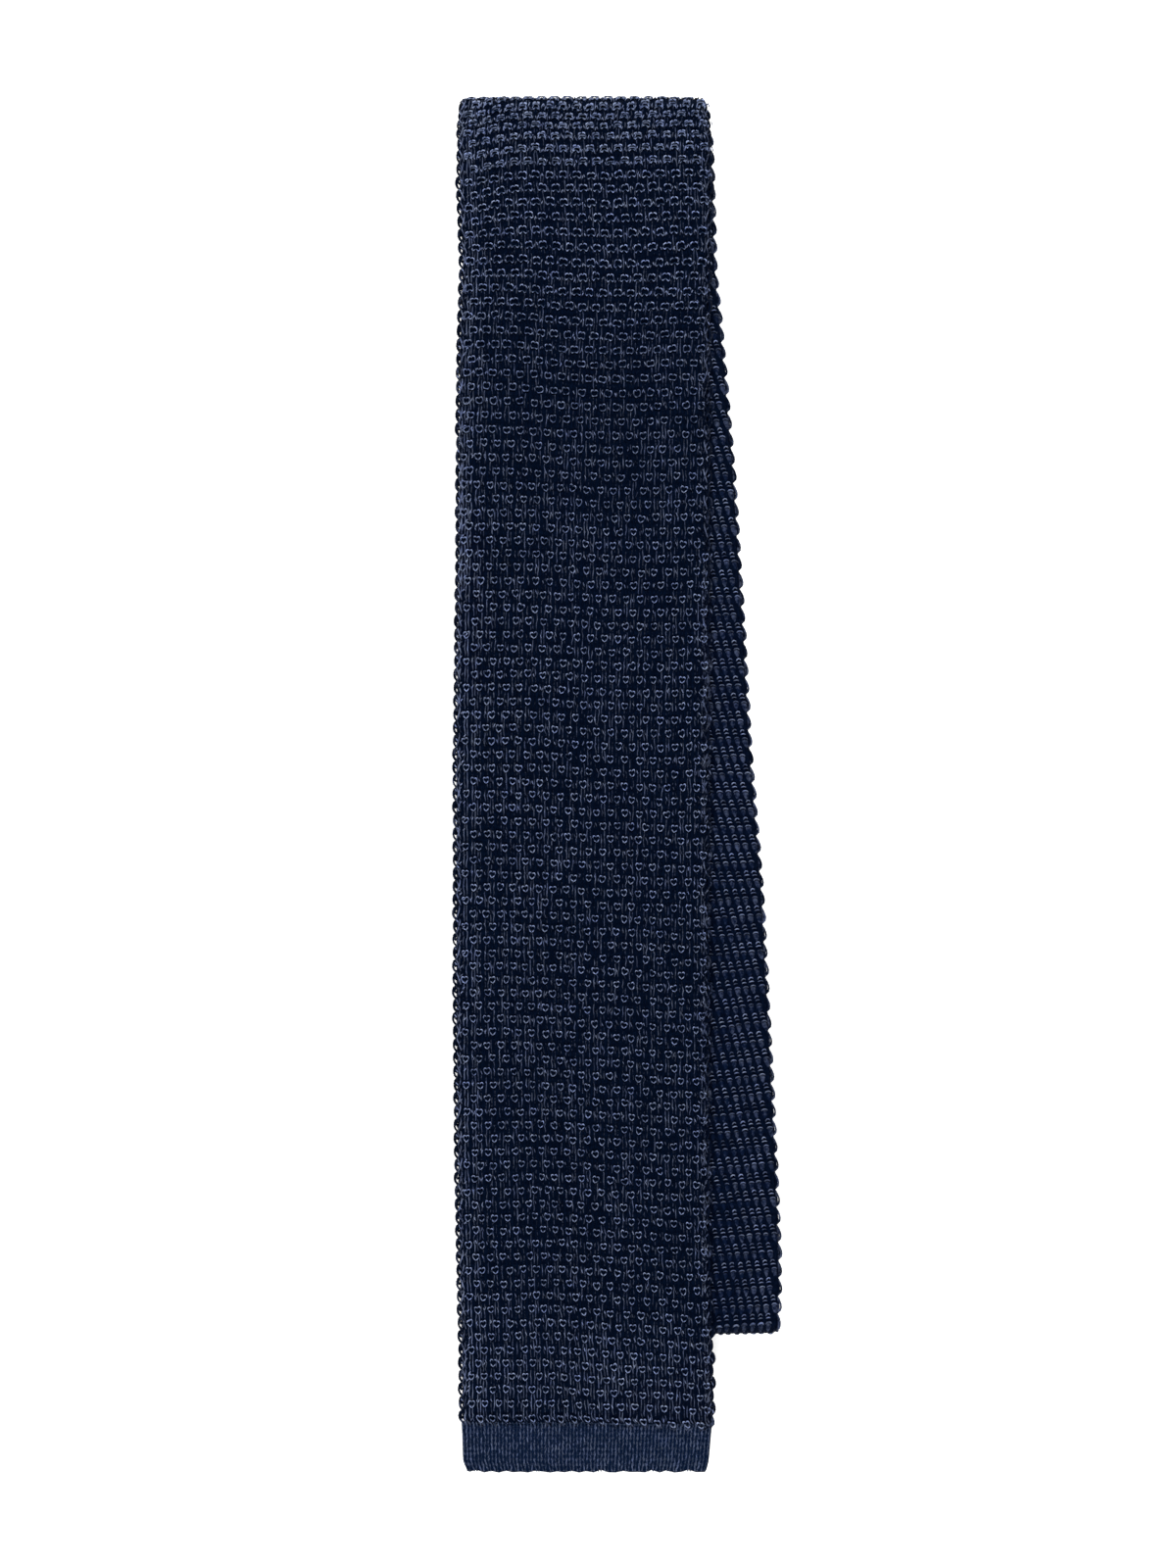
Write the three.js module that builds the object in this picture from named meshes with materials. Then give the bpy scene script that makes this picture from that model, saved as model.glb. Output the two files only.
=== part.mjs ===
// A knit tie, folded in four layers and lying flat. Millimetres, +Z up, +Y from the broad end to the top
// fold.
//
// The tie is a flat knitted tube: two walls with a thin hollow between them, round at both side edges.
// From the broad end it runs up as the front layer, over the top fold and down as the second layer, round
// the neck fold and up as the neck, and over a hidden fold down to the narrow end, which lies on the
// floor. Each layer drapes over the layers below it, so it falls gently towards the floor beyond their
// edges. A plain knitted band closes each end.

import * as THREE from "three";

// Widths of the tie, flat
const bladeWidth = 70;
const neckWidth = 36;
const tailWidth = 46;

// Where the folded tie reaches, measured along the front layer
const frontLength = 382; // from the broad end to the top fold
const neckFoldInset = 38; // from the broad end to the neck fold
const tailFoldInset = 18; // from the top fold to the hidden fold
const tailInset = 12; // from the broad end to the narrow end
const sideReach = 20; // how far the second layer shows beside the front layer

// The flat tube and its plain end bands
const tubeThickness = 3.0;
const wallThickness = 1.3;
const bandThickness = 2.4;
const bandWall = 1.0;
const broadBandHeight = 13.7;
const narrowBandHeight = 11;
const bandSeam = 2; // solid stretch where a band closes the tube's end

// How the layers lie on each other
const layerGap = 0.5;
const pieceGap = 0.4;
const drapeReach = 40; // a free edge comes down to the floor over this distance
const foldSwell = 2.0; // how much a soft fold stands open
const swellReach = 26; // how far from the fold it stands open
const blendPower = 8; // how closely a layer follows the highest of those below it

// Fineness of the facets
const stationStep = 20;
const bentStep = 8; // where the front layer comes down past the folds below it
const foldSteps = 6;
const facePoints = 9;
const edgePoints = 2; // an even number
const slopeStep = 0.5; // over which a slope is measured
const rowClearance = 1; // a table row nearer than this to a run's end is left out

// Edges of the front layer. along: share of frontLength from the broad end. left, right: shares of
// bladeWidth from the blade's middle line.
const frontRows = [
  { along: 0.0, left: -0.461, right: 0.48 },
  { along: 0.007, left: -0.477, right: 0.492 },
  { along: 0.034, left: -0.48, right: 0.504 },
  { along: 0.038, left: -0.492, right: 0.518 },
  { along: 0.079, left: -0.492, right: 0.514 },
  { along: 0.129, left: -0.5, right: 0.505 },
  { along: 0.204, left: -0.508, right: 0.5 },
  { along: 0.329, left: -0.516, right: 0.5 },
  { along: 0.53, left: -0.516, right: 0.5 },
  { along: 0.655, left: -0.504, right: 0.5 },
  { along: 0.805, left: -0.5, right: 0.5 },
  { along: 0.88, left: -0.488, right: 0.502 },
  { along: 0.931, left: -0.5, right: 0.508 },
  { along: 0.977, left: -0.504, right: 0.504 },
  { along: 0.991, left: -0.496, right: 0.49 },
  { along: 1.0, left: -0.492, right: 0.469 },
];

// The second layer, from the top fold down to the neck fold. along: share of its length. showing: share of
// sideReach beyond the blade's nominal right edge. taper: share of the way from bladeWidth to neckWidth.
const secondRows = [
  { along: 0.0, showing: -0.108, taper: 0.04 },
  { along: 0.012, showing: -0.03, taper: 0.03 },
  { along: 0.035, showing: 0.045, taper: 0.05 },
  { along: 0.08, showing: 0.075, taper: 0.1 },
  { along: 0.135, showing: 0.1, taper: 0.16 },
  { along: 0.22, showing: 0.235, taper: 0.25 },
  { along: 0.3, showing: 0.355, taper: 0.34 },
  { along: 0.42, showing: 0.485, taper: 0.46 },
  { along: 0.53, showing: 0.59, taper: 0.58 },
  { along: 0.64, showing: 0.75, taper: 0.7 },
  { along: 0.75, showing: 0.85, taper: 0.8 },
  { along: 0.86, showing: 0.945, taper: 0.9 },
  { along: 0.94, showing: 1.0, taper: 0.97 },
  { along: 0.98, showing: 0.99, taper: 0.99 },
  { along: 1.0, showing: 0.965, taper: 1.0 },
];

// The neck, from the neck fold up to the hidden fold. back: share of the way that its middle line goes
// back from the neck fold's place to the narrow blade's. widen: share of the way from neckWidth to
// tailWidth.
const neckRows = [
  { along: 0.0, back: 0.0, widen: 0.0 },
  { along: 0.08, back: 0.1, widen: -0.06 },
  { along: 0.35, back: 0.42, widen: -0.1 },
  { along: 0.7, back: 0.83, widen: 0.0 },
  { along: 0.92, back: 1.0, widen: 0.15 },
  { along: 1.0, back: 1.0, widen: 0.2 },
];

// The narrow blade, from the hidden fold down to the narrow end. aside: share of bladeWidth from the
// middle line.
const tailRows = [
  { along: 0.0, aside: 0.016, widen: 0.2 },
  { along: 0.3, aside: 0.02, widen: 0.6 },
  { along: 0.6, aside: 0.016, widen: 1.0 },
  { along: 0.9, aside: 0.012, widen: 1.0 },
  { along: 1.0, aside: 0.012, widen: 0.94 },
];

// A band's closed edge is rounded. inset: share of bandThickness from the edge. thick: share of
// bandThickness.
const bandEdgeRows = [
  { inset: 0.0, thick: 0.45 },
  { inset: 0.25, thick: 0.85 },
  { inset: 0.6, thick: 1.0 },
];

// Finishes of the knit
const tuckKnit = { color: 0x1c2236, roughness: 0.62, metalness: 0 };
const plainKnit = { color: 0x252e41, roughness: 0.7, metalness: 0 };

// The value of one column of a table at a place along it, on straight lines between its rows.
function column(rows, name, at) {
  const next = rows.findIndex((row) => row.along >= at);
  if (next <= 0) return rows[next === 0 ? 0 : rows.length - 1][name];
  const [a, b] = [rows[next - 1], rows[next]];
  return THREE.MathUtils.mapLinear(at, a.along, b.along, a[name], b[name]);
}

// The four layers from the top down. Each has its lowest and highest y, the side that its face looks to, 1
// up or -1 down, and its left and right edges at a height y.
const topY = frontLength;
const hiddenTopY = frontLength - tailFoldInset;
const tailPlace = tailRows[0].aside * bladeWidth;

function secondEdges(at) {
  const width = THREE.MathUtils.lerp(bladeWidth, neckWidth, column(secondRows, "taper", at));
  const right = bladeWidth / 2 + sideReach * column(secondRows, "showing", at);
  return [right - width, right];
}

const [neckLeft, neckRight] = secondEdges(1);
const neckPlace = (neckLeft + neckRight) / 2;

const layers = [
  {
    low: 0,
    high: topY,
    face: 1,
    edges: (y) => {
      const at = y / frontLength;
      return ["left", "right"].map((edge) => column(frontRows, edge, at) * bladeWidth);
    },
  },
  {
    low: neckFoldInset,
    high: topY,
    face: -1,
    edges: (y) => secondEdges((topY - y) / (topY - neckFoldInset)),
  },
  {
    low: neckFoldInset,
    high: hiddenTopY,
    face: 1,
    edges: (y) => {
      const at = (y - neckFoldInset) / (hiddenTopY - neckFoldInset);
      const middle = THREE.MathUtils.lerp(neckPlace, tailPlace, column(neckRows, "back", at));
      const half = THREE.MathUtils.lerp(neckWidth, tailWidth, column(neckRows, "widen", at)) / 2;
      return [middle - half, middle + half];
    },
  },
  {
    low: tailInset,
    high: hiddenTopY,
    face: -1,
    edges: (y) => {
      const at = (hiddenTopY - y) / (hiddenTopY - tailInset);
      const middle = column(tailRows, "aside", at) * bladeWidth;
      const half = THREE.MathUtils.lerp(neckWidth, tailWidth, column(tailRows, "widen", at)) / 2;
      return [middle - half, middle + half];
    },
  },
];
const [FRONT, SECOND, NECK, TAIL] = layers.keys();

// How much a layer is lifted off the one below it because a soft fold between the two stands open. It
// fades with the distance from the fold.
function swell(layer, y) {
  const fromFold = { [FRONT]: topY - y, [SECOND]: y - neckFoldInset }[layer] ?? Infinity;
  return foldSwell * (1 - THREE.MathUtils.smoothstep(fromFold, 0, swellReach));
}

// How high a layer holds up what lies above (x, y): its own top at the nearest point of its outline, less
// an S-shaped fall with the distance from there.
function hold(layer, x, y) {
  const { low, high, edges } = layers[layer];
  const nearY = THREE.MathUtils.clamp(y, low, high);
  const nearX = THREE.MathUtils.clamp(x, ...edges(nearY));
  const fall = THREE.MathUtils.smoothstep(Math.hypot(x - nearX, y - nearY), 0, drapeReach);
  return (underside(layer, nearX, nearY) + tubeThickness) * (1 - fall);
}

// The height of a layer's underside. It lies on the highest of the layers below, blended so that no crease
// forms.
function underside(layer, x, y) {
  if (layer === TAIL) return 0;
  let sum = 0;
  for (let below = layer + 1; below <= TAIL; below++) sum += hold(below, x, y) ** blendPower;
  return sum ** (1 / blendPower) + layerGap + swell(layer, y);
}

function middleHeight(layer, x, y) {
  return underside(layer, x, y) + tubeThickness / 2;
}

function slopes(layer, x, y) {
  const rise = (dx, dy) => middleHeight(layer, x + dx, y + dy) - middleHeight(layer, x - dx, y - dy);
  return [rise(slopeStep, 0) / (2 * slopeStep), rise(0, slopeStep) / (2 * slopeStep)];
}

// A cross-section of a layer at a height y: for a share u from the left edge to the right, the point on
// the tube's middle surface, the normal on the tie's face and the sideways tangent.
function layerSection(layer, y) {
  const [left, right] = layers[layer].edges(y);
  return {
    width: right - left,
    at: (u) => {
      const x = THREE.MathUtils.lerp(left, right, u);
      const [slopeX, slopeY] = slopes(layer, x, y);
      const normal = new THREE.Vector3(-slopeX, -slopeY, 1).setLength(layers[layer].face);
      const side = new THREE.Vector3(1, 0, slopeX).normalize();
      return { point: new THREE.Vector3(x, y, middleHeight(layer, x, y)), normal, side };
    },
  };
}

// Half the distance between the middles of the two layers that a fold joins, at its middle.
function foldRadius(upper, y) {
  const [left, right] = layers[upper].edges(y);
  const x = (left + right) / 2;
  return (middleHeight(upper, x, y) - middleHeight(upper + 1, x, y)) / 2;
}

// The height y where a fold begins, so that its outside reaches the fold's own line.
function foldStart(upper, line, outwards) {
  return line - outwards * (foldRadius(upper, line) + tubeThickness / 2);
}

// Cross-sections round a fold from one layer to the next lower one. Each point goes round a half circle
// that joins its places on the two layers, and bulges outwards in y, while the edges go in to those of the
// fold's own line. At its two ends the section turns from the layers' own normals to the half circle's.
function foldSections(upper, line, outwards) {
  const start = foldStart(upper, line, outwards);
  const above = layerSection(upper, start);
  const below = layerSection(upper + 1, start);
  const [lineLeft, lineRight] = layers[upper].edges(line);
  const sections = [];
  for (let step = 1; step < foldSteps; step++) {
    const turn = (Math.PI * step) / foldSteps;
    const inwards = Math.sin(turn);
    sections.push({
      width: THREE.MathUtils.lerp(above.width, lineRight - lineLeft, inwards),
      at: (u) => {
        const [a, b] = [above.at(u), below.at(u)];
        const radius = (a.point.z - b.point.z) / 2;
        const straight = THREE.MathUtils.lerp(a.point.x, b.point.x, step / foldSteps);
        const x = THREE.MathUtils.lerp(straight, THREE.MathUtils.lerp(lineLeft, lineRight, u), inwards);
        const y = start + outwards * radius * Math.sin(turn);
        const z = (a.point.z + b.point.z) / 2 + radius * Math.cos(turn);
        const normal = new THREE.Vector3(0, outwards * Math.sin(turn), Math.cos(turn));
        normal.multiplyScalar(layers[upper].face);
        const side = a.side.clone().lerp(b.side, step / foldSteps).normalize();
        return { point: new THREE.Vector3(x, y, z), normal, side };
      },
    });
  }
  return sections;
}

// Heights from one y to another, evenly spaced by about step, with the table rows between them.
function stations(from, to, rowHeights, step) {
  const count = Math.max(1, Math.round(Math.abs(to - from) / step));
  const even = Array.from({ length: count + 1 }, (_, i) => THREE.MathUtils.lerp(from, to, i / count));
  const clear = step / 4;
  const [low, high] = [Math.min(from, to) + rowClearance, Math.max(from, to) - rowClearance];
  const inside = rowHeights.filter((y) => y > low && y < high);
  const isEnd = (i) => i === 0 || i === count;
  const kept = even.filter((y, i) => isEnd(i) || inside.every((row) => Math.abs(row - y) > clear));
  return [...kept, ...inside].sort((a, b) => (to > from ? a - b : b - a));
}

// The closed line round a cross-section, radius out from the middle surface: along the face from left to
// right, round the right edge, back along the reverse and round the left edge.
function outline(section, radius, thickness) {
  const inset = thickness / 2 / section.width;
  const points = [];
  const put = (u, turn) => {
    const { point, normal, side } = section.at(u);
    point.addScaledVector(normal, radius * Math.cos(turn));
    points.push(point.addScaledVector(side, radius * Math.sin(turn)));
  };
  const across = (i) => THREE.MathUtils.lerp(inset, 1 - inset, i / (facePoints - 1));
  for (let i = 0; i < facePoints; i++) put(across(i), 0);
  for (let i = 1; i <= edgePoints; i++) put(1 - inset, (Math.PI * i) / (edgePoints + 1));
  for (let i = facePoints - 1; i >= 0; i--) put(across(i), Math.PI);
  for (let i = 1; i <= edgePoints; i++) put(inset, Math.PI + (Math.PI * i) / (edgePoints + 1));
  return points;
}

// Triangles between two closed lines with as many points each. An inner wall has the same triangles as the
// outer one beside it, turned to look the other way.
function wall(triangles, a, b, inner = false) {
  for (let i = 0; i < a.length; i++) {
    const j = (i + 1) % a.length;
    if (inner) triangles.push([a[i], b[j], a[j]], [a[i], b[i], b[j]]);
    else triangles.push([a[i], a[j], b[j]], [a[i], b[j], b[i]]);
  }
}

// Triangles across a closed line, in strips from its face to its reverse.
function lid(triangles, ring) {
  const half = ring.length / 2;
  const turned = [...ring.slice(-edgePoints / 2), ...ring.slice(0, -edgePoints / 2)];
  const upper = turned.slice(0, half);
  const lower = turned.slice(half).reverse();
  for (let i = 0; i + 1 < upper.length; i++) {
    triangles.push([upper[i], lower[i], lower[i + 1]], [upper[i], lower[i + 1], upper[i + 1]]);
  }
}

// A closed body from its triangles, turned so that its faces point out.
function bodyOf(triangles) {
  const volume = triangles.reduce((sum, [a, b, c]) => sum + a.dot(b.clone().cross(c)), 0);
  const geometry = new THREE.BufferGeometry();
  const outwards = volume > 0 ? triangles : triangles.map(([a, b, c]) => [a, c, b]);
  geometry.setFromPoints(outwards.flat());
  geometry.computeVertexNormals();
  return geometry;
}

// A stretch of the tube, open at both ends.
function tube(sections) {
  const outer = sections.map((section) => outline(section, tubeThickness / 2, tubeThickness));
  const hollow = tubeThickness / 2 - wallThickness;
  const inner = sections.map((section) => outline(section, hollow, tubeThickness));
  const triangles = [];
  for (let i = 0; i + 1 < sections.length; i++) {
    wall(triangles, outer[i], outer[i + 1]);
    wall(triangles, inner[i], inner[i + 1], true);
  }
  wall(triangles, inner[0], outer[0]);
  wall(triangles, outer.at(-1), inner.at(-1));
  return bodyOf(triangles);
}

// A plain band that closes the tube: a flat pocket, open towards the tube, with a rounded closed edge.
function band(layer, endY, height) {
  const openY = endY + height - pieceGap;
  const rounded = bandEdgeRows.map(({ inset, thick }) => ({ y: endY + inset * bandThickness, thick }));
  const straight = [endY + bandSeam, (endY + openY) / 2, openY].map((y) => ({ y, thick: 1 }));
  const outer = [...rounded, ...straight].map(({ y, thick }) =>
    outline(layerSection(layer, y), (thick * bandThickness) / 2, bandThickness));
  const inner = straight.map(({ y }) =>
    outline(layerSection(layer, y), bandThickness / 2 - bandWall, bandThickness));
  const triangles = [];
  for (let i = 0; i + 1 < outer.length; i++) wall(triangles, outer[i], outer[i + 1]);
  for (let i = 0; i + 1 < inner.length; i++) wall(triangles, inner[i], inner[i + 1], true);
  wall(triangles, outer.at(-1), inner.at(-1));
  lid(triangles, outer[0]);
  const pocketEnd = [];
  lid(pocketEnd, inner[0]);
  triangles.push(...pocketEnd.map(([a, b, c]) => [a, c, b]));
  return bodyOf(triangles);
}

const frontTurn = foldStart(FRONT, topY, 1);
const neckTurn = foldStart(SECOND, neckFoldInset, -1);
const hiddenTurn = foldStart(NECK, hiddenTopY, 1);
const joinY = (neckTurn + hiddenTurn) / 2; // the middle of the neck
const calmY = neckFoldInset + swellReach; // the front layer lies level above this height

function runOf(layer, from, to, rowHeights = [], step = stationStep) {
  return stations(from, to, rowHeights, step).map((y) => layerSection(layer, y));
}

const frontHeights = frontRows.map(({ along }) => along * frontLength);
const secondHeights = secondRows.map(({ along }) => topY - along * (topY - neckFoldInset));
const broadBlade = tube([
  ...runOf(FRONT, broadBandHeight, calmY, frontHeights, bentStep),
  ...runOf(FRONT, calmY, frontTurn, frontHeights).slice(1),
  ...foldSections(FRONT, topY, 1),
  ...runOf(SECOND, frontTurn, neckTurn, secondHeights),
  ...foldSections(SECOND, neckFoldInset, -1),
  ...runOf(NECK, neckTurn, joinY - pieceGap / 2),
]);
const narrowBlade = tube([
  ...runOf(NECK, joinY + pieceGap / 2, hiddenTurn),
  ...foldSections(NECK, hiddenTopY, 1),
  ...runOf(TAIL, hiddenTurn, tailInset + narrowBandHeight),
]);

function piece(name, geometry, finish) {
  const mesh = new THREE.Mesh(geometry, new THREE.MeshStandardMaterial(finish));
  mesh.name = name;
  return mesh;
}

const tie = new THREE.Group();
tie.add(
  piece("broad_blade", broadBlade, tuckKnit),
  piece("narrow_blade", narrowBlade, tuckKnit),
  piece("broad_end_band", band(FRONT, 0, broadBandHeight), plainKnit),
  piece("narrow_end_band", band(TAIL, tailInset, narrowBandHeight), plainKnit),
);

// The origin is at the middle of the footprint, on the floor.
const box = new THREE.Box3().setFromObject(tie);
tie.position.set(-(box.min.x + box.max.x) / 2, -(box.min.y + box.max.y) / 2, 0);

export default tie;
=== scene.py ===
"""A knit tie folded in four and lying flat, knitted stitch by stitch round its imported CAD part."""

import functools

import bpy
import numpy as np
from bpy.props import FloatProperty, FloatVectorProperty, PointerProperty
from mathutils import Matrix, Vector


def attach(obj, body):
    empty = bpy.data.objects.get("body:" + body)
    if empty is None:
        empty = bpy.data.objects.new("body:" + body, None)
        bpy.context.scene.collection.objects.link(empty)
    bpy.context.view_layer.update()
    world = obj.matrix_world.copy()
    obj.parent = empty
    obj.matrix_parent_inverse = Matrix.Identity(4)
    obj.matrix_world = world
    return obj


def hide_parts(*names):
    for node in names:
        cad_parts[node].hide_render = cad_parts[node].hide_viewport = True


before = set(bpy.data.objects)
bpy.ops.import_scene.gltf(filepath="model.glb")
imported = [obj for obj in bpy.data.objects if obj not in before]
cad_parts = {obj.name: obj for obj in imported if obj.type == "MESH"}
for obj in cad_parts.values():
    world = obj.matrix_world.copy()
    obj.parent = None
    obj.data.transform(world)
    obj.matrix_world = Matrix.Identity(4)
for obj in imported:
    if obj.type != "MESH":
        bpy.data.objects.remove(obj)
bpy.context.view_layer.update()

bl_info = {
    "name": "Knit Tie",
    "version": (1, 0, 0),
    "blender": (4, 5, 0),
    "location": "View3D > Sidebar > Tie",
    "description": "Knits a tie, folded in four and lying flat, and sets a stage round it",
    "category": "Object",
}

METRES = 0.001  # this file counts in millimetres

# The folded tie, as in the CAD source. Layers are numbered from the top down.
FRONT, SECOND, NECK, TAIL = range(4)
FACES = (1, -1, 1, -1)  # the side that each layer's face looks to, 1 up
BLADE_WIDTH, NECK_WIDTH, TAIL_WIDTH = 70.0, 36.0, 46.0
FRONT_LENGTH, NECK_FOLD_INSET, TAIL_FOLD_INSET, TAIL_INSET = 382.0, 38.0, 18.0, 12.0
SIDE_REACH = 20.0
TUBE_THICKNESS = 3.0
BROAD_BAND_HEIGHT, NARROW_BAND_HEIGHT, PIECE_GAP = 13.7, 11.0, 0.4
LAYER_GAP, DRAPE_REACH, FOLD_SWELL, SWELL_REACH, BLEND_POWER = 0.5, 40.0, 2.0, 26.0, 8
SLOPE_STEP = 0.5
ORIGIN = np.array([-9.4148, -190.9407, 0.0])  # of the CAD source's own axes, in the part's frame
LOWS = (0.0, NECK_FOLD_INSET, NECK_FOLD_INSET, TAIL_INSET)
HIGHS = (FRONT_LENGTH, FRONT_LENGTH, FRONT_LENGTH - TAIL_FOLD_INSET, FRONT_LENGTH - TAIL_FOLD_INSET)

# Front layer: share of its length from the broad end, left and right edge as shares of the blade's width
FRONT_ROWS = np.array([
    (0.0, -0.461, 0.48), (0.007, -0.477, 0.492), (0.034, -0.48, 0.504), (0.038, -0.492, 0.518),
    (0.079, -0.492, 0.514), (0.129, -0.5, 0.505), (0.204, -0.508, 0.5), (0.329, -0.516, 0.5),
    (0.53, -0.516, 0.5), (0.655, -0.504, 0.5), (0.805, -0.5, 0.5), (0.88, -0.488, 0.502),
    (0.931, -0.5, 0.508), (0.977, -0.504, 0.504), (0.991, -0.496, 0.49), (1.0, -0.492, 0.469),
])
# Second layer, from the top fold down: share of its length, share of the side reach that shows, taper
SECOND_ROWS = np.array([
    (0.0, -0.108, 0.04), (0.012, -0.03, 0.03), (0.035, 0.045, 0.05), (0.08, 0.075, 0.1),
    (0.135, 0.1, 0.16), (0.22, 0.235, 0.25), (0.3, 0.355, 0.34), (0.42, 0.485, 0.46),
    (0.53, 0.59, 0.58), (0.64, 0.75, 0.7), (0.75, 0.85, 0.8), (0.86, 0.945, 0.9),
    (0.94, 1.0, 0.97), (0.98, 0.99, 0.99), (1.0, 0.965, 1.0),
])
# Neck, from the neck fold up: share of its length, share of the way back to the middle, widening
NECK_ROWS = np.array([
    (0.0, 0.0, 0.0), (0.08, 0.1, -0.06), (0.35, 0.42, -0.1), (0.7, 0.83, 0.0), (0.92, 1.0, 0.15),
    (1.0, 1.0, 0.2),
])
# Narrow blade, from the hidden fold down: share of its length, place aside, widening
TAIL_ROWS = np.array([
    (0.0, 0.016, 0.2), (0.3, 0.02, 0.6), (0.6, 0.016, 1.0), (0.9, 0.012, 1.0), (1.0, 0.012, 0.94),
])

# How the knitted rows of the front sag: height above the broad end, then the drop at each column
DRIFT_COLUMNS = np.array([0.08, 0.19, 0.29, 0.395, 0.5, 0.605, 0.71, 0.815, 0.92])
DRIFT_ROWS = np.array([
    (24.0, 0.0, -0.1, 0.0, 0.0, 0.2, 0.1, 0.0, 0.5, 1.1),
    (46.0, 0.0, -0.2, -0.5, -0.5, -0.3, 0.0, 0.3, 0.8, 1.4),
    (81.0, 0.0, -0.2, -0.5, -0.6, -0.4, -0.1, 0.3, 0.7, 1.1),
    (122.0, 0.0, -0.1, 0.1, 0.2, 0.7, 1.0, 1.5, 2.2, 2.6),
    (163.0, 0.6, 0.7, 0.9, 1.1, 1.6, 2.0, 2.3, 2.6, 2.9),
    (204.0, 0.5, 0.5, 0.5, 1.1, 1.6, 2.0, 2.3, 2.5, 2.3),
    (245.0, 0.4, 0.5, 0.7, 1.1, 1.6, 2.0, 2.2, 2.1, 1.8),
    (286.0, -0.4, 0.1, 0.5, 1.1, 1.6, 2.0, 2.0, 1.7, 1.4),
    (305.0, -0.5, -0.3, 0.1, 0.8, 1.4, 1.6, 1.5, 1.0, 0.9),
    (322.0, -0.4, -0.4, 0.1, 0.9, 1.4, 1.7, 1.5, 1.1, 0.9),
    (336.0, 0.2, -0.2, 0.1, 0.7, 1.1, 1.3, 1.2, 0.8, 0.5),
    (346.0, 1.0, -0.1, -0.3, 0.1, 0.5, 0.7, 0.5, 0.0, -0.3),
    (359.0, 1.6, 0.1, -0.5, -0.3, -0.2, -0.2, -0.5, -0.8, -1.0),
    (371.0, 0.9, -0.6, -1.2, -1.0, -0.9, -0.9, -1.2, -1.5, -1.7),
])

# Stitches
WALE = 1.915  # from one column of stitches to the next
HEART_ROW = 3.7  # from one row of heart stitches to the next, on average
RIB_ROW = 4.94
RIB_WALE = 2.3
GROUND = 1.1  # half the thickness of the ground knit
SEED = 11

# Row spacing of the front, stretched and packed by the folding: height above the broad end, spacing
ROW_SPACING = np.array([
    (14.9, 4.2), (19.1, 4.0), (22.7, 3.72), (42.7, 3.68), (80.0, 3.66), (88.0, 3.725), (156.0, 3.725),
    (164.0, 3.68), (246.0, 3.7), (287.0, 3.8), (328.0, 4.0), (347.0, 3.9), (358.0, 3.6), (366.0, 3.3),
    (372.0, 2.6), (380.0, 2.4),
])
# Painted light and shade on the stitches of the front, lightest towards the top fold and darkest round
# 290 mm: height above the broad end, then share
FRONT_PAINTED_LIGHT = np.array([
    (0.0, 0.95), (60.0, 0.92), (110.0, 0.87), (200.0, 1.0), (260.0, 0.88), (290.0, 0.64), (315.0, 0.8),
    (345.0, 1.1), (365.0, 1.0), (375.0, 0.8),
])
FIRST_ROW = ROW_SPACING[0, 0]
# The hearts of even and odd rows: how many, and the place of the first and the last as a share of the width
HEART_SPREAD = ((17, 0.0768, 0.9422), (18, 0.0456, 0.9696))
# How far to the right the columns run on their way up: height above the broad end, then mm
COLUMN_SHIFT = np.array([
    (163.0, 0.1), (204.0, 0.3), (245.0, 0.4), (281.0, 0.9), (300.0, 1.3), (331.0, 1.3), (355.0, 1.6),
    (382.0, 1.7),
])
SPREAD_TO_RIGHT = 0.035  # how much wider the columns get towards the right
FREE_LEFT, FREE_RIGHT = 2.2, 1.5  # no heart stitch lies closer to an edge than this
HEART_WIDE, HEART_TALL = 0.88, 0.98  # half the width and half the height of a heart stitch
HEART_YARN, LEG_YARN, FLECK_YARN, RIB_YARN = 0.175, 0.16, 0.15, 0.19  # radius
COURSE = 1.48  # from one row of plain stitches to the next
EDGE_STITCH = 0.17  # radius of the flecks beside the edges
FLOOR_REACH = 4.0  # metres

# Silk: how much a yarn's tone changes along it, how much smoother its light parts are, and its tints
TONE_CHANGE, LIGHT_SMOOTHER = 0.3, 0.16
SILK_TINT, GROUND_TINT = (0.35, 0.6, 1.0, 1), (0.66, 0.76, 1.0, 1)
BLUER = (0.74, 0.8, 1.04)  # the silk's light colour times this, for its bluer stitches


def smooth(value, low, high):
    """An S-shaped rise from 0 at low to 1 at high."""
    share = np.clip((value - low) / (high - low), 0.0, 1.0)
    return share * share * (3 - 2 * share)


def mix(a, b, share):
    return a + (b - a) * share


def unit(vectors):
    return vectors / np.maximum(np.linalg.norm(vectors, axis=-1, keepdims=True), 1e-12)


def column(rows, at, index):
    """One column of a table at places along it, on straight lines between its rows."""
    return np.interp(at, rows[:, 0], rows[:, index])


def second_edges(at):
    width = mix(BLADE_WIDTH, NECK_WIDTH, column(SECOND_ROWS, at, 2))
    right = BLADE_WIDTH / 2 + SIDE_REACH * column(SECOND_ROWS, at, 1)
    return right - width, right


def edges(layer, y):
    """Left and right edge of a layer at heights y, from its table."""
    at = (y - LOWS[layer]) / (HIGHS[layer] - LOWS[layer])
    if layer == FRONT:
        return tuple(column(FRONT_ROWS, at, index) * BLADE_WIDTH for index in (1, 2))
    if layer == SECOND:
        return second_edges(1 - at)
    if layer == NECK:
        middle = mix(sum(second_edges(1.0)) / 2, TAIL_ROWS[0, 1] * BLADE_WIDTH, column(NECK_ROWS, at, 1))
        half = mix(NECK_WIDTH, TAIL_WIDTH, column(NECK_ROWS, at, 2)) / 2
    else:
        middle = column(TAIL_ROWS, 1 - at, 1) * BLADE_WIDTH
        half = mix(NECK_WIDTH, TAIL_WIDTH, column(TAIL_ROWS, 1 - at, 2)) / 2
    return middle - half, middle + half


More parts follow.
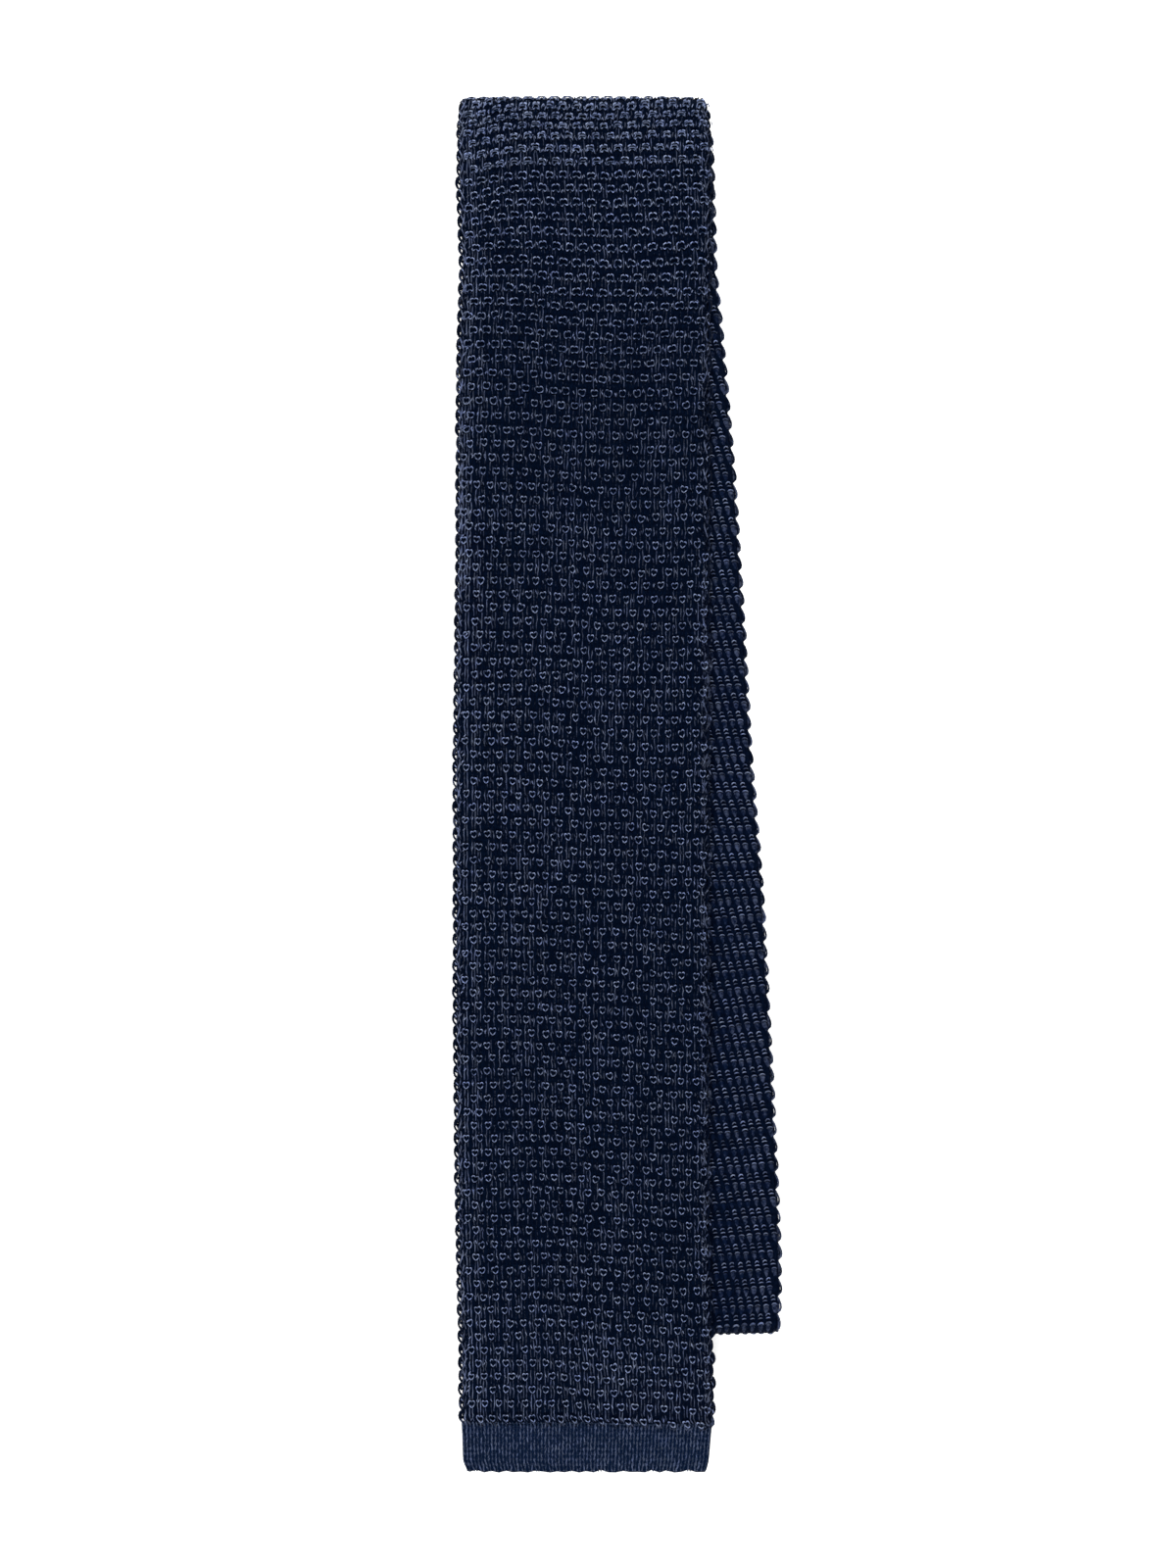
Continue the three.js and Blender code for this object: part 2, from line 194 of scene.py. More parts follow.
def swell(layer, y):
    """How much a soft fold lifts a layer off the one below: most at the fold, fading away from it."""
    if layer not in (FRONT, SECOND):
        return 0.0
    from_fold = FRONT_LENGTH - y if layer == FRONT else y - NECK_FOLD_INSET
    return FOLD_SWELL * (1 - smooth(from_fold, 0.0, SWELL_REACH))


def hold(layer, x, y):
    """How high a layer holds what lies above it: its own top at the nearest point of its outline, less
    an S-shaped fall with the distance from there."""
    near_y = np.clip(y, LOWS[layer], HIGHS[layer])
    near_x = np.clip(x, *edges(layer, near_y))
    fall = smooth(np.hypot(x - near_x, y - near_y), 0.0, DRAPE_REACH)
    return (underside(layer, near_x, near_y) + TUBE_THICKNESS) * (1 - fall)


def underside(layer, x, y):
    """Height of a layer's underside: on the highest of those below, blended by the eighth root of the
    sum of their eighth powers, plus the gap and the swell of its fold."""
    if layer == TAIL:
        return np.zeros_like(x)
    total = sum(hold(below, x, y) ** BLEND_POWER for below in range(layer + 1, TAIL + 1))
    return total ** (1 / BLEND_POWER) + LAYER_GAP + swell(layer, y)


def middle_height(layer, x, y):
    return underside(layer, x, y) + TUBE_THICKNESS / 2


def layer_grid(layer, heights, shares):
    """A layer's middle surface and face normals, one row of points for each height."""
    left, right = edges(layer, heights)
    x = left[:, None] + (right - left)[:, None] * shares
    y = np.repeat(heights[:, None], len(shares), axis=1)
    step = SLOPE_STEP
    slope_x = (middle_height(layer, x + step, y) - middle_height(layer, x - step, y)) / (2 * step)
    slope_y = (middle_height(layer, x, y + step) - middle_height(layer, x, y - step)) / (2 * step)
    normal = unit(np.stack([-slope_x, -slope_y, np.ones_like(x)], -1)) * FACES[layer]
    return np.stack([x, y, middle_height(layer, x, y)], -1), normal


def fold_start(upper, line, outwards):
    """Where a fold begins, so that its outside reaches the fold's own line."""
    y = np.array([line])
    x = sum(edges(upper, y)) / 2
    radius = (middle_height(upper, x, y) - middle_height(upper + 1, x, y)) / 2
    return line - outwards * (radius[0] + TUBE_THICKNESS / 2)


def fold_grid(upper, line, outwards, shares, steps):
    """The middle surface round a fold: half circles that join the two layers and bulge outwards in y,
    while the edges go in to those of the fold's line by the sine of the turn."""
    start = np.array([fold_start(upper, line, outwards)])
    above, _ = layer_grid(upper, start, shares)
    below, _ = layer_grid(upper + 1, start, shares)
    left, right = edges(upper, np.array([line]))
    turn = np.linspace(0, np.pi, steps + 1)[1:-1, None]
    bulge = np.sin(turn)
    straight = mix(above[..., 0], below[..., 0], turn / np.pi)
    x = mix(straight, mix(left, right, shares), bulge)
    radius = (above[..., 2] - below[..., 2]) / 2
    y = start + outwards * radius * bulge
    z = (above[..., 2] + below[..., 2]) / 2 + radius * np.cos(turn)
    normal = np.stack([0 * x, outwards * bulge + 0 * x, np.cos(turn) + 0 * x], -1) * FACES[upper]
    return np.stack([x, y, z], -1), normal


class Cloth:
    """The tie's middle surface as a grid: rows along it from the broad end, shares across it from its
    left edge. It turns cloth coordinates (along, from the left edge, out of the face) into places."""

    def __init__(self, step=2.0, across=57, fold_steps=16):
        shares = np.linspace(0.0, 1.0, across)
        turns = (fold_start(FRONT, HIGHS[FRONT], 1), fold_start(SECOND, LOWS[SECOND], -1),
                 fold_start(NECK, HIGHS[NECK], 1))

        def run(layer, start, end):
            count = int(round(abs(end - start) / step)) + 1
            return layer_grid(layer, np.linspace(start, end, count), shares)

        parts = {
            "front": run(FRONT, -3.0, turns[0]),
            "top_fold": fold_grid(FRONT, HIGHS[FRONT], 1, shares, fold_steps),
            "second": run(SECOND, turns[0], turns[1]),
            "neck_fold": fold_grid(SECOND, LOWS[SECOND], -1, shares, fold_steps),
            "neck": run(NECK, turns[1], turns[2]),
            "hidden_fold": fold_grid(NECK, HIGHS[NECK], 1, shares, fold_steps),
            "tail": run(TAIL, turns[2], TAIL_INSET - 3.0),
        }
        self.points = np.concatenate([points for points, _ in parts.values()])
        self.normals = np.concatenate([normals for _, normals in parts.values()])
        middle = self.points[:, across // 2]
        lengths = np.linalg.norm(np.diff(middle, axis=0), axis=1)
        self.along = np.concatenate([[0.0], np.cumsum(lengths)])
        front = parts["front"][0][:, across // 2, 1]
        self.along -= np.interp(0.0, front, self.along[: len(front)])
        self.widths = np.linalg.norm(self.points[:, -1] - self.points[:, 0], axis=1)
        ends = np.cumsum([len(points) for points, _ in parts.values()])
        starts = np.concatenate([[0], ends[:-1]])
        self.reach = {name: (self.along[a], self.along[b - 1]) for name, a, b in zip(parts, starts, ends)}
        self.heights = {name: parts[name][0][:, across // 2, 1] for name in parts}

    def along_at(self, part, y):
        """How far along the cloth the height y lies, within one of its parts."""
        start = list(self.reach).index(part)
        first = sum(len(h) for h in list(self.heights.values())[:start])
        heights = self.heights[part]
        values = self.along[first : first + len(heights)]
        order = np.argsort(heights)
        return float(np.interp(y, heights[order], values[order]))

    def width(self, along):
        return np.interp(along, self.along, self.widths)

    def place(self, path):
        """Cloth coordinates to metres in the part's frame, on straight lines between the grid's points."""
        along, aside, out = np.moveaxis(path, -1, 0)
        row = np.clip(np.searchsorted(self.along, along) - 1, 0, len(self.along) - 2)
        near = (along - self.along[row]) / (self.along[row + 1] - self.along[row])
        last = self.points.shape[1] - 1
        real = aside / mix(self.widths[row], self.widths[row + 1], near) * last
        cell = np.clip(np.floor(real), 0, last - 1).astype(int)
        over = real - cell

        def between(grid, u):
            a = mix(grid[row, cell], grid[row, cell + 1], u[..., None])
            b = mix(grid[row + 1, cell], grid[row + 1, cell + 1], u[..., None])
            return mix(a, b, near[..., None])

        normal = unit(between(self.normals, np.clip(over, 0.0, 1.0)))
        return (between(self.points, over) + normal * out[..., None] + ORIGIN) * METRES


@functools.cache
def tie_cloth():
    return Cloth()


def row_drop(along, aside, width):
    """How much lower a knitted row of the front lies at a place, from its table."""
    heights, drops = DRIFT_ROWS[:, 0], DRIFT_ROWS[:, 1:]
    row = np.clip(np.searchsorted(heights, along) - 1, 0, len(heights) - 2)
    near = np.clip((along - heights[row]) / (heights[row + 1] - heights[row]), 0.0, 1.0)
    share = np.clip(aside / width, 0.0, 1.0)
    cell = np.clip(np.searchsorted(DRIFT_COLUMNS, share) - 1, 0, len(DRIFT_COLUMNS) - 2)
    left, right = DRIFT_COLUMNS[cell], DRIFT_COLUMNS[cell + 1]
    over = np.clip((share - left) / (right - left), 0.0, 1.0)
    return mix(mix(drops[row, cell], drops[row, cell + 1], over),
               mix(drops[row + 1, cell], drops[row + 1, cell + 1], over), near)


def drifted(path):
    """Cloth coordinates of the front with the drop of its rows taken off."""
    cloth = tie_cloth()
    moved = path.copy()
    moved[..., 0] -= row_drop(path[..., 0], path[..., 1], cloth.width(path[..., 0]))
    return moved


def new_piece(name, points, faces, material, uv=None, tone=None):
    """A mesh object from whole arrays: points in metres, faces of four corners, a texture place for each
    corner and a tone for each point."""
    mesh = bpy.data.meshes.new(name)
    mesh.vertices.add(len(points))
    mesh.vertices.foreach_set("co", np.asarray(points, np.float32).ravel())
    mesh.loops.add(faces.size)
    mesh.loops.foreach_set("vertex_index", np.asarray(faces, np.int32).ravel())
    mesh.polygons.add(len(faces))
    mesh.polygons.foreach_set("loop_start", np.arange(0, faces.size, 4, dtype=np.int32))
    mesh.update(calc_edges=True)
    mesh.polygons.foreach_set("use_smooth", np.ones(len(faces), bool))
    if uv is not None:
        layer = mesh.uv_layers.new(name="knit")
        layer.data.foreach_set("uv", np.asarray(uv, np.float32).ravel())
    if tone is not None:
        attribute = mesh.attributes.new("tone", "FLOAT", "POINT")
        attribute.data.foreach_set("value", np.asarray(tone, np.float32).ravel())
    mesh.validate()
    mesh.materials.append(material)
    piece = bpy.data.objects.new(name, mesh)
    bpy.context.scene.collection.objects.link(piece)
    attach(piece, "root")
    return piece


def outward(points, faces):
    """The faces, turned over if the closed mesh that they make is inside out."""
    a, b, c, d = (points[faces[:, k]] for k in range(4))
    volume = np.einsum("ij,ij->i", a, np.cross(b, c)).sum() + np.einsum("ij,ij->i", a, np.cross(c, d)).sum()
    return faces if volume > 0 else faces[:, ::-1]


def yarn_tubes(paths, wide, high, sides=4, closed=False):
    """Tubes carried along many paths at once: round each point of a path, a ring of corners whose place
    is wide times the cosine of the turn across the path, and high times its sine out of the cloth. Paths
    are in cloth coordinates, with as many points each. Open tubes get a flat end. Returns the points, the
    faces and, for each corner of a face, its place along and round the tube."""
    count, steps = paths.shape[:2]
    if closed:
        ahead = unit(np.roll(paths, -1, axis=1) - np.roll(paths, 1, axis=1))
    else:
        ahead = unit(np.gradient(paths, axis=1))
    out = unit(np.array([0.0, 0.0, 1.0]) - ahead * ahead[..., 2:] + np.array([1e-6, 0.0, 0.0]))
    aside = np.cross(ahead, out)
    turn = 2 * np.pi * (np.arange(sides) + 0.5) / sides
    wide = np.broadcast_to(wide, (count, steps))[..., None, None]
    high = np.broadcast_to(high, (count, steps))[..., None, None]
    rings = (paths[:, :, None] + wide * np.cos(turn)[:, None] * aside[:, :, None]
             + high * np.sin(turn)[:, None] * out[:, :, None])
    index = np.arange(count * steps * sides).reshape(count, steps, sides)
    nxt = np.roll(index, -1, axis=1) if closed else index[:, 1:]
    low = index if closed else index[:, :-1]
    quads = np.stack([low, np.roll(low, -1, axis=2), np.roll(nxt, -1, axis=2), nxt], -1)
    spans = quads.shape[1]
    i, j = np.meshgrid(np.arange(spans) / spans, np.arange(sides) / sides, indexing="ij")
    di, dj = 1 / spans, 1 / sides
    uv = np.stack([np.stack([i, j], -1), np.stack([i, j + dj], -1), np.stack([i + di, j + dj], -1),
                   np.stack([i + di, j], -1)], 2)
    uv = np.broadcast_to(uv, (count, spans, sides, 4, 2))
    faces, places = [quads.reshape(-1, 4)], [uv.reshape(-1, 4, 2)]
    if not closed:
        half = sides // 2
        for end, order in ((index[:, 0], slice(None, None, -1)), (index[:, -1], slice(None))):
            for k in range(half - 1):
                cap = np.stack([end[:, k], end[:, k + 1], end[:, sides - 2 - k], end[:, sides - 1 - k]], -1)
                faces.append(cap[:, order])
                places.append(np.zeros((count, 4, 2)))
    return rings.reshape(-1, 3), np.concatenate(faces), np.concatenate(places)


def yarn_piece(name, parts, material, drift=False):
    """One piece from several sets of tubes, each (paths, wide, high, sides, closed, tone). The tone is one
    number for each path, or one for each of its points."""
    cloth = tie_cloth()
    points, faces, places, tones, first = [], [], [], [], 0
    for paths, wide, high, sides, closed, tone in parts:
        rings, quads, uv = yarn_tubes(paths, wide, high, sides, closed)
        placed = cloth.place(drifted(rings) if drift else rings)
        points.append(placed)
        faces.append(outward(placed, quads) + first)
        places.append(uv)
        steps = paths.shape[1]
        tone = np.broadcast_to(tone.reshape(len(paths), -1), (len(paths), steps))
        tones.append(np.repeat(tone.ravel(), sides))
        first += len(rings)
    return new_piece(name, np.concatenate(points), np.concatenate(faces), material,
                     np.concatenate(places), np.concatenate(tones))


# Materials


def node_group(name, inputs, outputs):
    """An empty shader node group with named number inputs and outputs."""
    group = bpy.data.node_groups.new(name, "ShaderNodeTree")
    for label, kind, value in inputs:
        socket = group.interface.new_socket(label, in_out="INPUT", socket_type=kind)
        socket.default_value = value
    for label, kind in outputs:
        group.interface.new_socket(label, in_out="OUTPUT", socket_type=kind)
    return group, group.nodes.new("NodeGroupInput"), group.nodes.new("NodeGroupOutput")


class Wiring:
    """Adds and links nodes of one node tree."""

    def __init__(self, tree):
        self.tree = tree

    def node(self, kind, inputs=(), **settings):
        made = self.tree.nodes.new(kind)
        for key, value in settings.items():
            setattr(made, key, value)
        for key, value in dict(inputs).items():
            self.feed(made.inputs[key], value)
        return made

    def feed(self, socket, value):
        if isinstance(value, bpy.types.NodeSocket):
            self.tree.links.new(value, socket)
        else:
            socket.default_value = value

    def math(self, operation, *values, clamp=False):
        made = self.tree.nodes.new("ShaderNodeMath")
        made.operation = operation
        made.use_clamp = clamp
        for socket, value in zip(made.inputs, values):
            self.feed(socket, value)
        return made.outputs[0]

    def mix_colour(self, share, a, b):
        made = self.tree.nodes.new("ShaderNodeMix")
        made.data_type = "RGBA"
        self.feed(made.inputs["Factor"], share)
        for label, value in (("A", a), ("B", b)):
            sockets = [s for s in made.inputs if s.name == label and s.type == "RGBA"]
            self.feed(sockets[0], value)
        return [s for s in made.outputs if s.type == "RGBA"][0]


@functools.cache
def silk_twist():
    """Two silk plies twisted together: a height that is the sine of the turns along and round the yarn,
    a mask of slow changes along the tie with fine ones along each yarn, and one that changes from stitch
    to stitch."""
    group, given, result = node_group(
        "silk_twist", [("Twists", "NodeSocketFloat", 9.0), ("Scale", "NodeSocketFloat", 90.0)],
        [("Height", "NodeSocketFloat"), ("Change", "NodeSocketFloat"), ("Blue", "NodeSocketFloat")])
    make = Wiring(group)
    texture = make.node("ShaderNodeTexCoord")
    place = make.node("ShaderNodeSeparateXYZ", {"Vector": texture.outputs["UV"]})
    turns = make.math("MULTIPLY", place.outputs["X"], given.outputs["Twists"])
    phase = make.math("MULTIPLY", make.math("ADD", turns, place.outputs["Y"]), 2 * np.pi * 2)
    make.feed(result.inputs["Height"], make.math("SINE", phase))
    noise = make.node("ShaderNodeTexNoise", {
        "Vector": texture.outputs["Object"], "Scale": given.outputs["Scale"], "Detail": 2.0})
    fine = make.node("ShaderNodeTexNoise", {
        "Vector": texture.outputs["Object"], "Scale": make.math("MULTIPLY", given.outputs["Scale"], 16.0)})
    slow = make.math("MULTIPLY_ADD", noise.outputs["Fac"], 0.4, 0.3)
    both = make.math("MULTIPLY_ADD", make.math("SUBTRACT", fine.outputs["Fac"], 0.5), 1.5, slow)
    make.feed(result.inputs["Change"], both)
    blue = make.node("ShaderNodeTexNoise", {
        "Vector": texture.outputs["Object"], "Scale": make.math("MULTIPLY", given.outputs["Scale"], 4.5)})
    make.feed(result.inputs["Blue"], make.math("MULTIPLY_ADD", blue.outputs["Fac"], 3.0, -1.1, clamp=True))
    return group


def silk_material(name, dark, light, roughness, gloss):
    """Silk yarn: its colour goes from dark to light with the stitch's tone and the changes of the twist,
    some stitches are bluer than others, and its twist is a small bump. Besides random tone, the tone holds
    painted highlights and painted shade."""
    material = bpy.data.materials.new(name)
    material.use_nodes = True
    tree = material.node_tree
    make = Wiring(tree)
    shader = tree.nodes["Principled BSDF"]
    twist = make.node("ShaderNodeGroup", node_tree=silk_twist())
    tone = make.node("ShaderNodeAttribute", attribute_name="tone")
    change = make.math("MULTIPLY", make.math("SUBTRACT", twist.outputs["Change"], 0.5), TONE_CHANGE)
    share = make.math("ADD", tone.outputs["Fac"], change, clamp=True)
    bluer = (*(part * factor for part, factor in zip(light, BLUER)), 1)
    bright = make.mix_colour(twist.outputs["Blue"], (*light, 1), bluer)
    make.feed(shader.inputs["Base Color"], make.mix_colour(share, (*dark, 1), bright))
    smoother = make.math("MULTIPLY", share, LIGHT_SMOOTHER)
    make.feed(shader.inputs["Roughness"], make.math("SUBTRACT", roughness, smoother))
    bump = make.node("ShaderNodeBump", {
        "Strength": 0.5, "Distance": 0.00004, "Height": twist.outputs["Height"]})
    make.feed(shader.inputs["Normal"], bump.outputs["Normal"])
    shader.inputs["Specular IOR Level"].default_value = gloss
    shader.inputs["Specular Tint"].default_value = SILK_TINT
    return material


@functools.cache
def knit_field():
    """The dark ground of a knit in the piece's own wales and courses: uprights that are the sine of the
    wale and bars that are the sine of the course, broken up by a noise. Its mask follows that height and
    paints shade in the low places between the strands."""
    group, given, result = node_group(
        "knit_field", [("Strands", "NodeSocketFloat", 2.0), ("Courses", "NodeSocketFloat", 1.0)],
        [("Height", "NodeSocketFloat"), ("Mask", "NodeSocketFloat")])
    make = Wiring(group)
    place = make.node("ShaderNodeSeparateXYZ", {"Vector": make.node("ShaderNodeTexCoord").outputs["UV"]})
    across = make.math("MULTIPLY", place.outputs["X"], given.outputs["Strands"])
    along = make.math("MULTIPLY", place.outputs["Y"], given.outputs["Courses"])
    spread = make.node("ShaderNodeCombineXYZ", {
        "X": make.math("MULTIPLY", across, 2.2), "Y": make.math("MULTIPLY", along, 3.0)})
    noise = make.node("ShaderNodeTexNoise", {
        "Vector": spread.outputs[0], "Scale": 1.0, "Detail": 3.0, "Roughness": 0.6})
    uprights = make.math("SINE", make.math("MULTIPLY", across, 2 * np.pi))
    bars = make.math("SINE", make.math("MULTIPLY", along, 2 * np.pi * 2))
    field = make.math("ADD", make.math("MULTIPLY", uprights, 0.12), make.math("MULTIPLY", bars, 0.2))
    uneven = make.math("MULTIPLY", make.math("SUBTRACT", noise.outputs["Fac"], 0.5), 3.0)
    height = make.math("ADD", field, uneven)
    make.feed(result.inputs["Height"], height)
    make.feed(result.inputs["Mask"], make.math("MULTIPLY_ADD", height, 0.5, 0.5, clamp=True))
    return group


def ground_material(name, dark, light, strands, courses, depth):
    """The ground knit: painted shade between its strands, lighter on them, with their relief as bump."""
    material = bpy.data.materials.new(name)
    material.use_nodes = True
    tree = material.node_tree
    make = Wiring(tree)
    shader = tree.nodes["Principled BSDF"]
    field = make.node("ShaderNodeGroup", node_tree=knit_field())
    field.inputs["Strands"].default_value = strands
    field.inputs["Courses"].default_value = courses
    mask = field.outputs["Mask"]
    make.feed(shader.inputs["Base Color"], make.mix_colour(mask, (*dark, 1), (*light, 1)))
    make.feed(shader.inputs["Roughness"], make.math("SUBTRACT", 0.85, make.math("MULTIPLY", mask, 0.2)))
    bump = make.node("ShaderNodeBump", {
        "Strength": 0.8, "Distance": depth, "Height": field.outputs["Height"]})
    make.feed(shader.inputs["Normal"], bump.outputs["Normal"])
    shader.inputs["Specular IOR Level"].default_value = 0.02
    shader.inputs["Specular Tint"].default_value = GROUND_TINT
    return material


# Pieces


def tube_ring(cloth, along, thick, inset, face_points, edge_points):
    """The closed line round a cross-section, in cloth coordinates: over the face from left to right, a
    half turn round the right edge, back over the reverse and a half turn round the left edge."""
    width = cloth.width(along)
    across = np.linspace(0.0, 1.0, face_points)
    turn = np.pi * np.arange(1, edge_points + 1) / (edge_points + 1)
    half = thick[:, None]
    left = (inset[0] + 0 * along)[:, None]
    right = (width - inset[1])[:, None]
    face = np.stack(np.broadcast_arrays(along[:, None], mix(left, right, across), half), -1)
    back = face[:, ::-1] * np.array([1, 1, -1])
    swing = np.sin(turn) * half
    drop = np.cos(turn) * half
    right_edge = np.stack(np.broadcast_arrays(along[:, None], right + swing, drop), -1)
    left_edge = np.stack(np.broadcast_arrays(along[:, None], left - swing, -drop), -1)
    return np.concatenate([face, right_edge, back, left_edge], 1)


def tube_piece(name, along, thick, inset, material, unevenness=None):
    """A closed tube of ground knit from its cross-sections, with flat ends."""
    cloth = tie_cloth()
    face_points, edge_points = 33, 4
    rings = tube_ring(cloth, along, thick, inset, face_points, edge_points)
    if unevenness is not None:
        rings = unevenness(rings)
    around = rings.shape[1]
    index = np.arange(rings.shape[0] * around).reshape(-1, around)
    quads = np.stack([index[:-1], np.roll(index[:-1], -1, 1), np.roll(index[1:], -1, 1), index[1:]], -1)
    corner = np.stack([rings[..., 1] / WALE, rings[..., 0] / HEART_ROW], -1)
    uv = np.stack([corner[:-1], np.roll(corner[:-1], -1, 1), np.roll(corner[1:], -1, 1), corner[1:]], 2)
    half = around // 2
    faces, places = [quads.reshape(-1, 4)], [uv.reshape(-1, 4, 2)]
    for end, order in ((0, slice(None, None, -1)), (-1, slice(None))):
        ring, marks = index[end], corner[end]
        turned, turned_marks = np.roll(ring, edge_points // 2), np.roll(marks, edge_points // 2, axis=0)
        upper, lower = turned[:half], turned[half:][::-1]
        upper_marks, lower_marks = turned_marks[:half], turned_marks[half:][::-1]
        lid = np.stack([upper[:-1], upper[1:], lower[1:], lower[:-1]], -1)
        lid_marks = np.stack([upper_marks[:-1], upper_marks[1:], lower_marks[1:], lower_marks[:-1]], 1)
        faces.append(lid[:, order])
        places.append(lid_marks[:, order])
    placed = cloth.place(rings.reshape(-1, 3))
    return new_piece(name, placed, outward(placed, np.concatenate(faces)), material, np.concatenate(places))


def flat_area(start, end):
    """Flat area of a stretch of the tie, in square metres: its width summed along it."""
    cloth = tie_cloth()
    along = np.linspace(start, end, 400)
    return float(np.mean(cloth.width(along)) * (end - start)) * METRES ** 2


def painted_front_light(along):
    """Painted light and shade on the stitches of the front: rows of height above the broad end, then share.
    """
    return np.interp(along, *FRONT_PAINTED_LIGHT.T)


def beside_left(aside):
    """1 by the left edge of the front, where its yarns get painted light, fading to 0 a few stitches in."""
    return 1 - smooth(aside, 3.0, 9.0)


def near_band(along):
    """1 by the broad end's band, where the yarns get painted light, fading to 0 further up."""
    return 1 - smooth(along, 28.0, 60.0)


def near_fold(along):
    """1 round the top fold, where the stitches are packed closer, fading to 0 along the front."""
    return smooth(along, tie_cloth().along_at("front", 356.0), tie_cloth().along_at("front", 371.0))


@functools.cache
def heart_rows():
    """How far along the front each row of heart stitches lies, round the top fold to its far side."""
    rows = [FIRST_ROW]
    while rows[-1] < tie_cloth().reach["second"][0]:
        rows.append(rows[-1] + float(np.interp(rows[-1], *ROW_SPACING.T)))
    return np.array(rows)


def heart_places():
    """Row and place of each heart stitch of the front, and the gap down to the next one of its column."""
    rows = heart_rows()
    along, aside, gap_below = [], [], []
    for number, row in enumerate(rows):
        count, first, last = HEART_SPREAD[number % 2]
        width = float(tie_cloth().width(row))
        share = np.arange(-1, count + 1) / (count - 1)
        share = mix(first, last, share + SPREAD_TO_RIGHT * (share * share - share))
        place = share * width + np.interp(row, *COLUMN_SHIFT.T)
        place = place[(place > FREE_LEFT) & (place < width - FREE_RIGHT)]
        gap = row - rows[number - 2] if number > 1 else 2.5 + 3.5 * number
        along.append(np.full(len(place), row))
        aside.append(place)
        gap_below.append(np.full(len(place), gap))
    return np.concatenate(along), np.concatenate(aside), np.concatenate(gap_below)


# One heart stitch as charted: place across and up as a share of half its size, height out of the
# cloth, and its painted highlight, high on the lobes and the V and low, as painted shade, on the flanks and
# the notch
HEART = np.array([
    (0.0, 0.42, 0.1, -0.3), (0.32, 0.86, 0.9, 0.6), (0.7, 0.92, 1.0, 1.0), (0.98, 0.5, 0.7, 0.25),
    (0.9, -0.05, 0.5, -0.15), (0.52, -0.6, 0.7, 0.8), (0.0, -1.0, 0.4, 0.3), (-0.52, -0.6, 0.7, 0.75),
    (-0.9, -0.05, 0.5, -0.15), (-0.98, 0.5, 0.7, 0.25), (-0.7, 0.92, 1.0, 0.9), (-0.32, 0.86, 0.9, 0.5),
])
# The same stitch near the top fold, where it is pulled wide: an arch over two spread feet
WIDE_HEART = np.array([
    (0.0, 0.62, 0.8, -0.1), (0.34, 0.86, 1.0, 0.7), (0.74, 0.7, 1.0, 0.9), (0.92, 0.3, 0.6, -0.1),
    (1.0, -0.4, 0.6, 0.1), (0.66, -0.68, 0.8, 0.7), (0.0, -0.22, 0.3, -0.3), (-0.66, -0.68, 0.8, 0.7),
    (-1.0, -0.4, 0.6, 0.1), (-0.92, 0.3, 0.6, -0.1), (-0.74, 0.7, 1.0, 0.8), (-0.34, 0.86, 1.0, 0.6),
])
# The points of a heart that are kept where it shows only from below, and how far apart the columns are
SPARSE_HEART = [0, 2, 3, 4, 6, 8, 9, 10]
UNDER_COLUMN = 3.75
# One long leg below a heart: share of the way down, place aside and height out of the cloth in mm
LEG = np.array([
    (0.0, 0.25, 1.05), (0.2, 0.42, 1.16), (0.42, 0.42, 1.22), (0.58, 0.47, 1.36), (0.78, 0.4, 1.14),
    (1.0, 0.4, 0.95),
])
# A short fleck of yarn between two hearts: place up, place aside and height in mm
FLECK = np.array([(0.95, -0.28, 1.15), (0.5, -0.16, 1.42), (0.0, 0.05, 1.46), (-0.45, 0.2, 1.2)])
# A bar of yarn across a heart, where the top fold opens it: place up, place aside and height in mm
BAR = np.array([(-0.1, -1.1, 1.3), (0.2, -0.4, 1.62), (0.2, 0.4, 1.62), (-0.1, 1.1, 1.3)])


def strokes(places, chart, size, radius, tone, generator, spread=0.1):
    """Short open tubes, one at each place, from a chart of place up, place aside and height."""
    along, aside = places
    count = len(along)
    shift = generator.normal(0.0, spread, (2, count, 1))
    paths = np.stack([
        along[:, None] + shift[0] + chart[:, 0] * size, aside[:, None] + shift[1] + chart[:, 1] * size,
        chart[:, 2] + generator.normal(0.0, 0.04, (count, 1))], -1)
    return paths, radius, radius, 4, False, tone


def heart_paths(along, aside, wide, tall, upper, lift, generator):
    """Paths and painted highlights of heart stitches at their places, widened by upper from 0 to 1."""
    count = len(along)
    upper = upper[:, None]
    chart = mix(HEART, WIDE_HEART, upper[..., None])
    lean = generator.normal(0.0, 0.13, (count, 1))
    lobes = generator.normal(0.0, 0.12, (count, 1))
    x = chart[..., 0] * wide * generator.uniform(0.88, 1.08, (count, 1))
    y = chart[..., 1] * tall * generator.uniform(0.88, 1.1, (count, 1)) * (1 + lobes * chart[..., 0])
    paths = np.stack([
        along[:, None] + generator.normal(0.0, 0.12, (count, 1)) + y - lean * x,
        aside[:, None] + generator.normal(0.0, 0.12, (count, 1)) + x + lean * y,
        lift + chart[..., 2] * generator.uniform(0.3, 0.5, (count, 1))], -1)
    # Painted highlight and shade from the chart's last column, stronger on one side of a stitch at random
    side = 1 + generator.normal(0.0, 0.3, (count, 1)) * chart[..., 0]
    painted_glint = chart[..., 3] * side * generator.uniform(0.62, 1.0, (count, 1))
    return paths, painted_glint + generator.normal(0.0, 0.12, (count, len(HEART)))


def widening(along):
    """How far the heart stitches are pulled wide: 0 along most of the front, 1 towards the top fold."""
    return smooth(along, 275.0, 335.0)


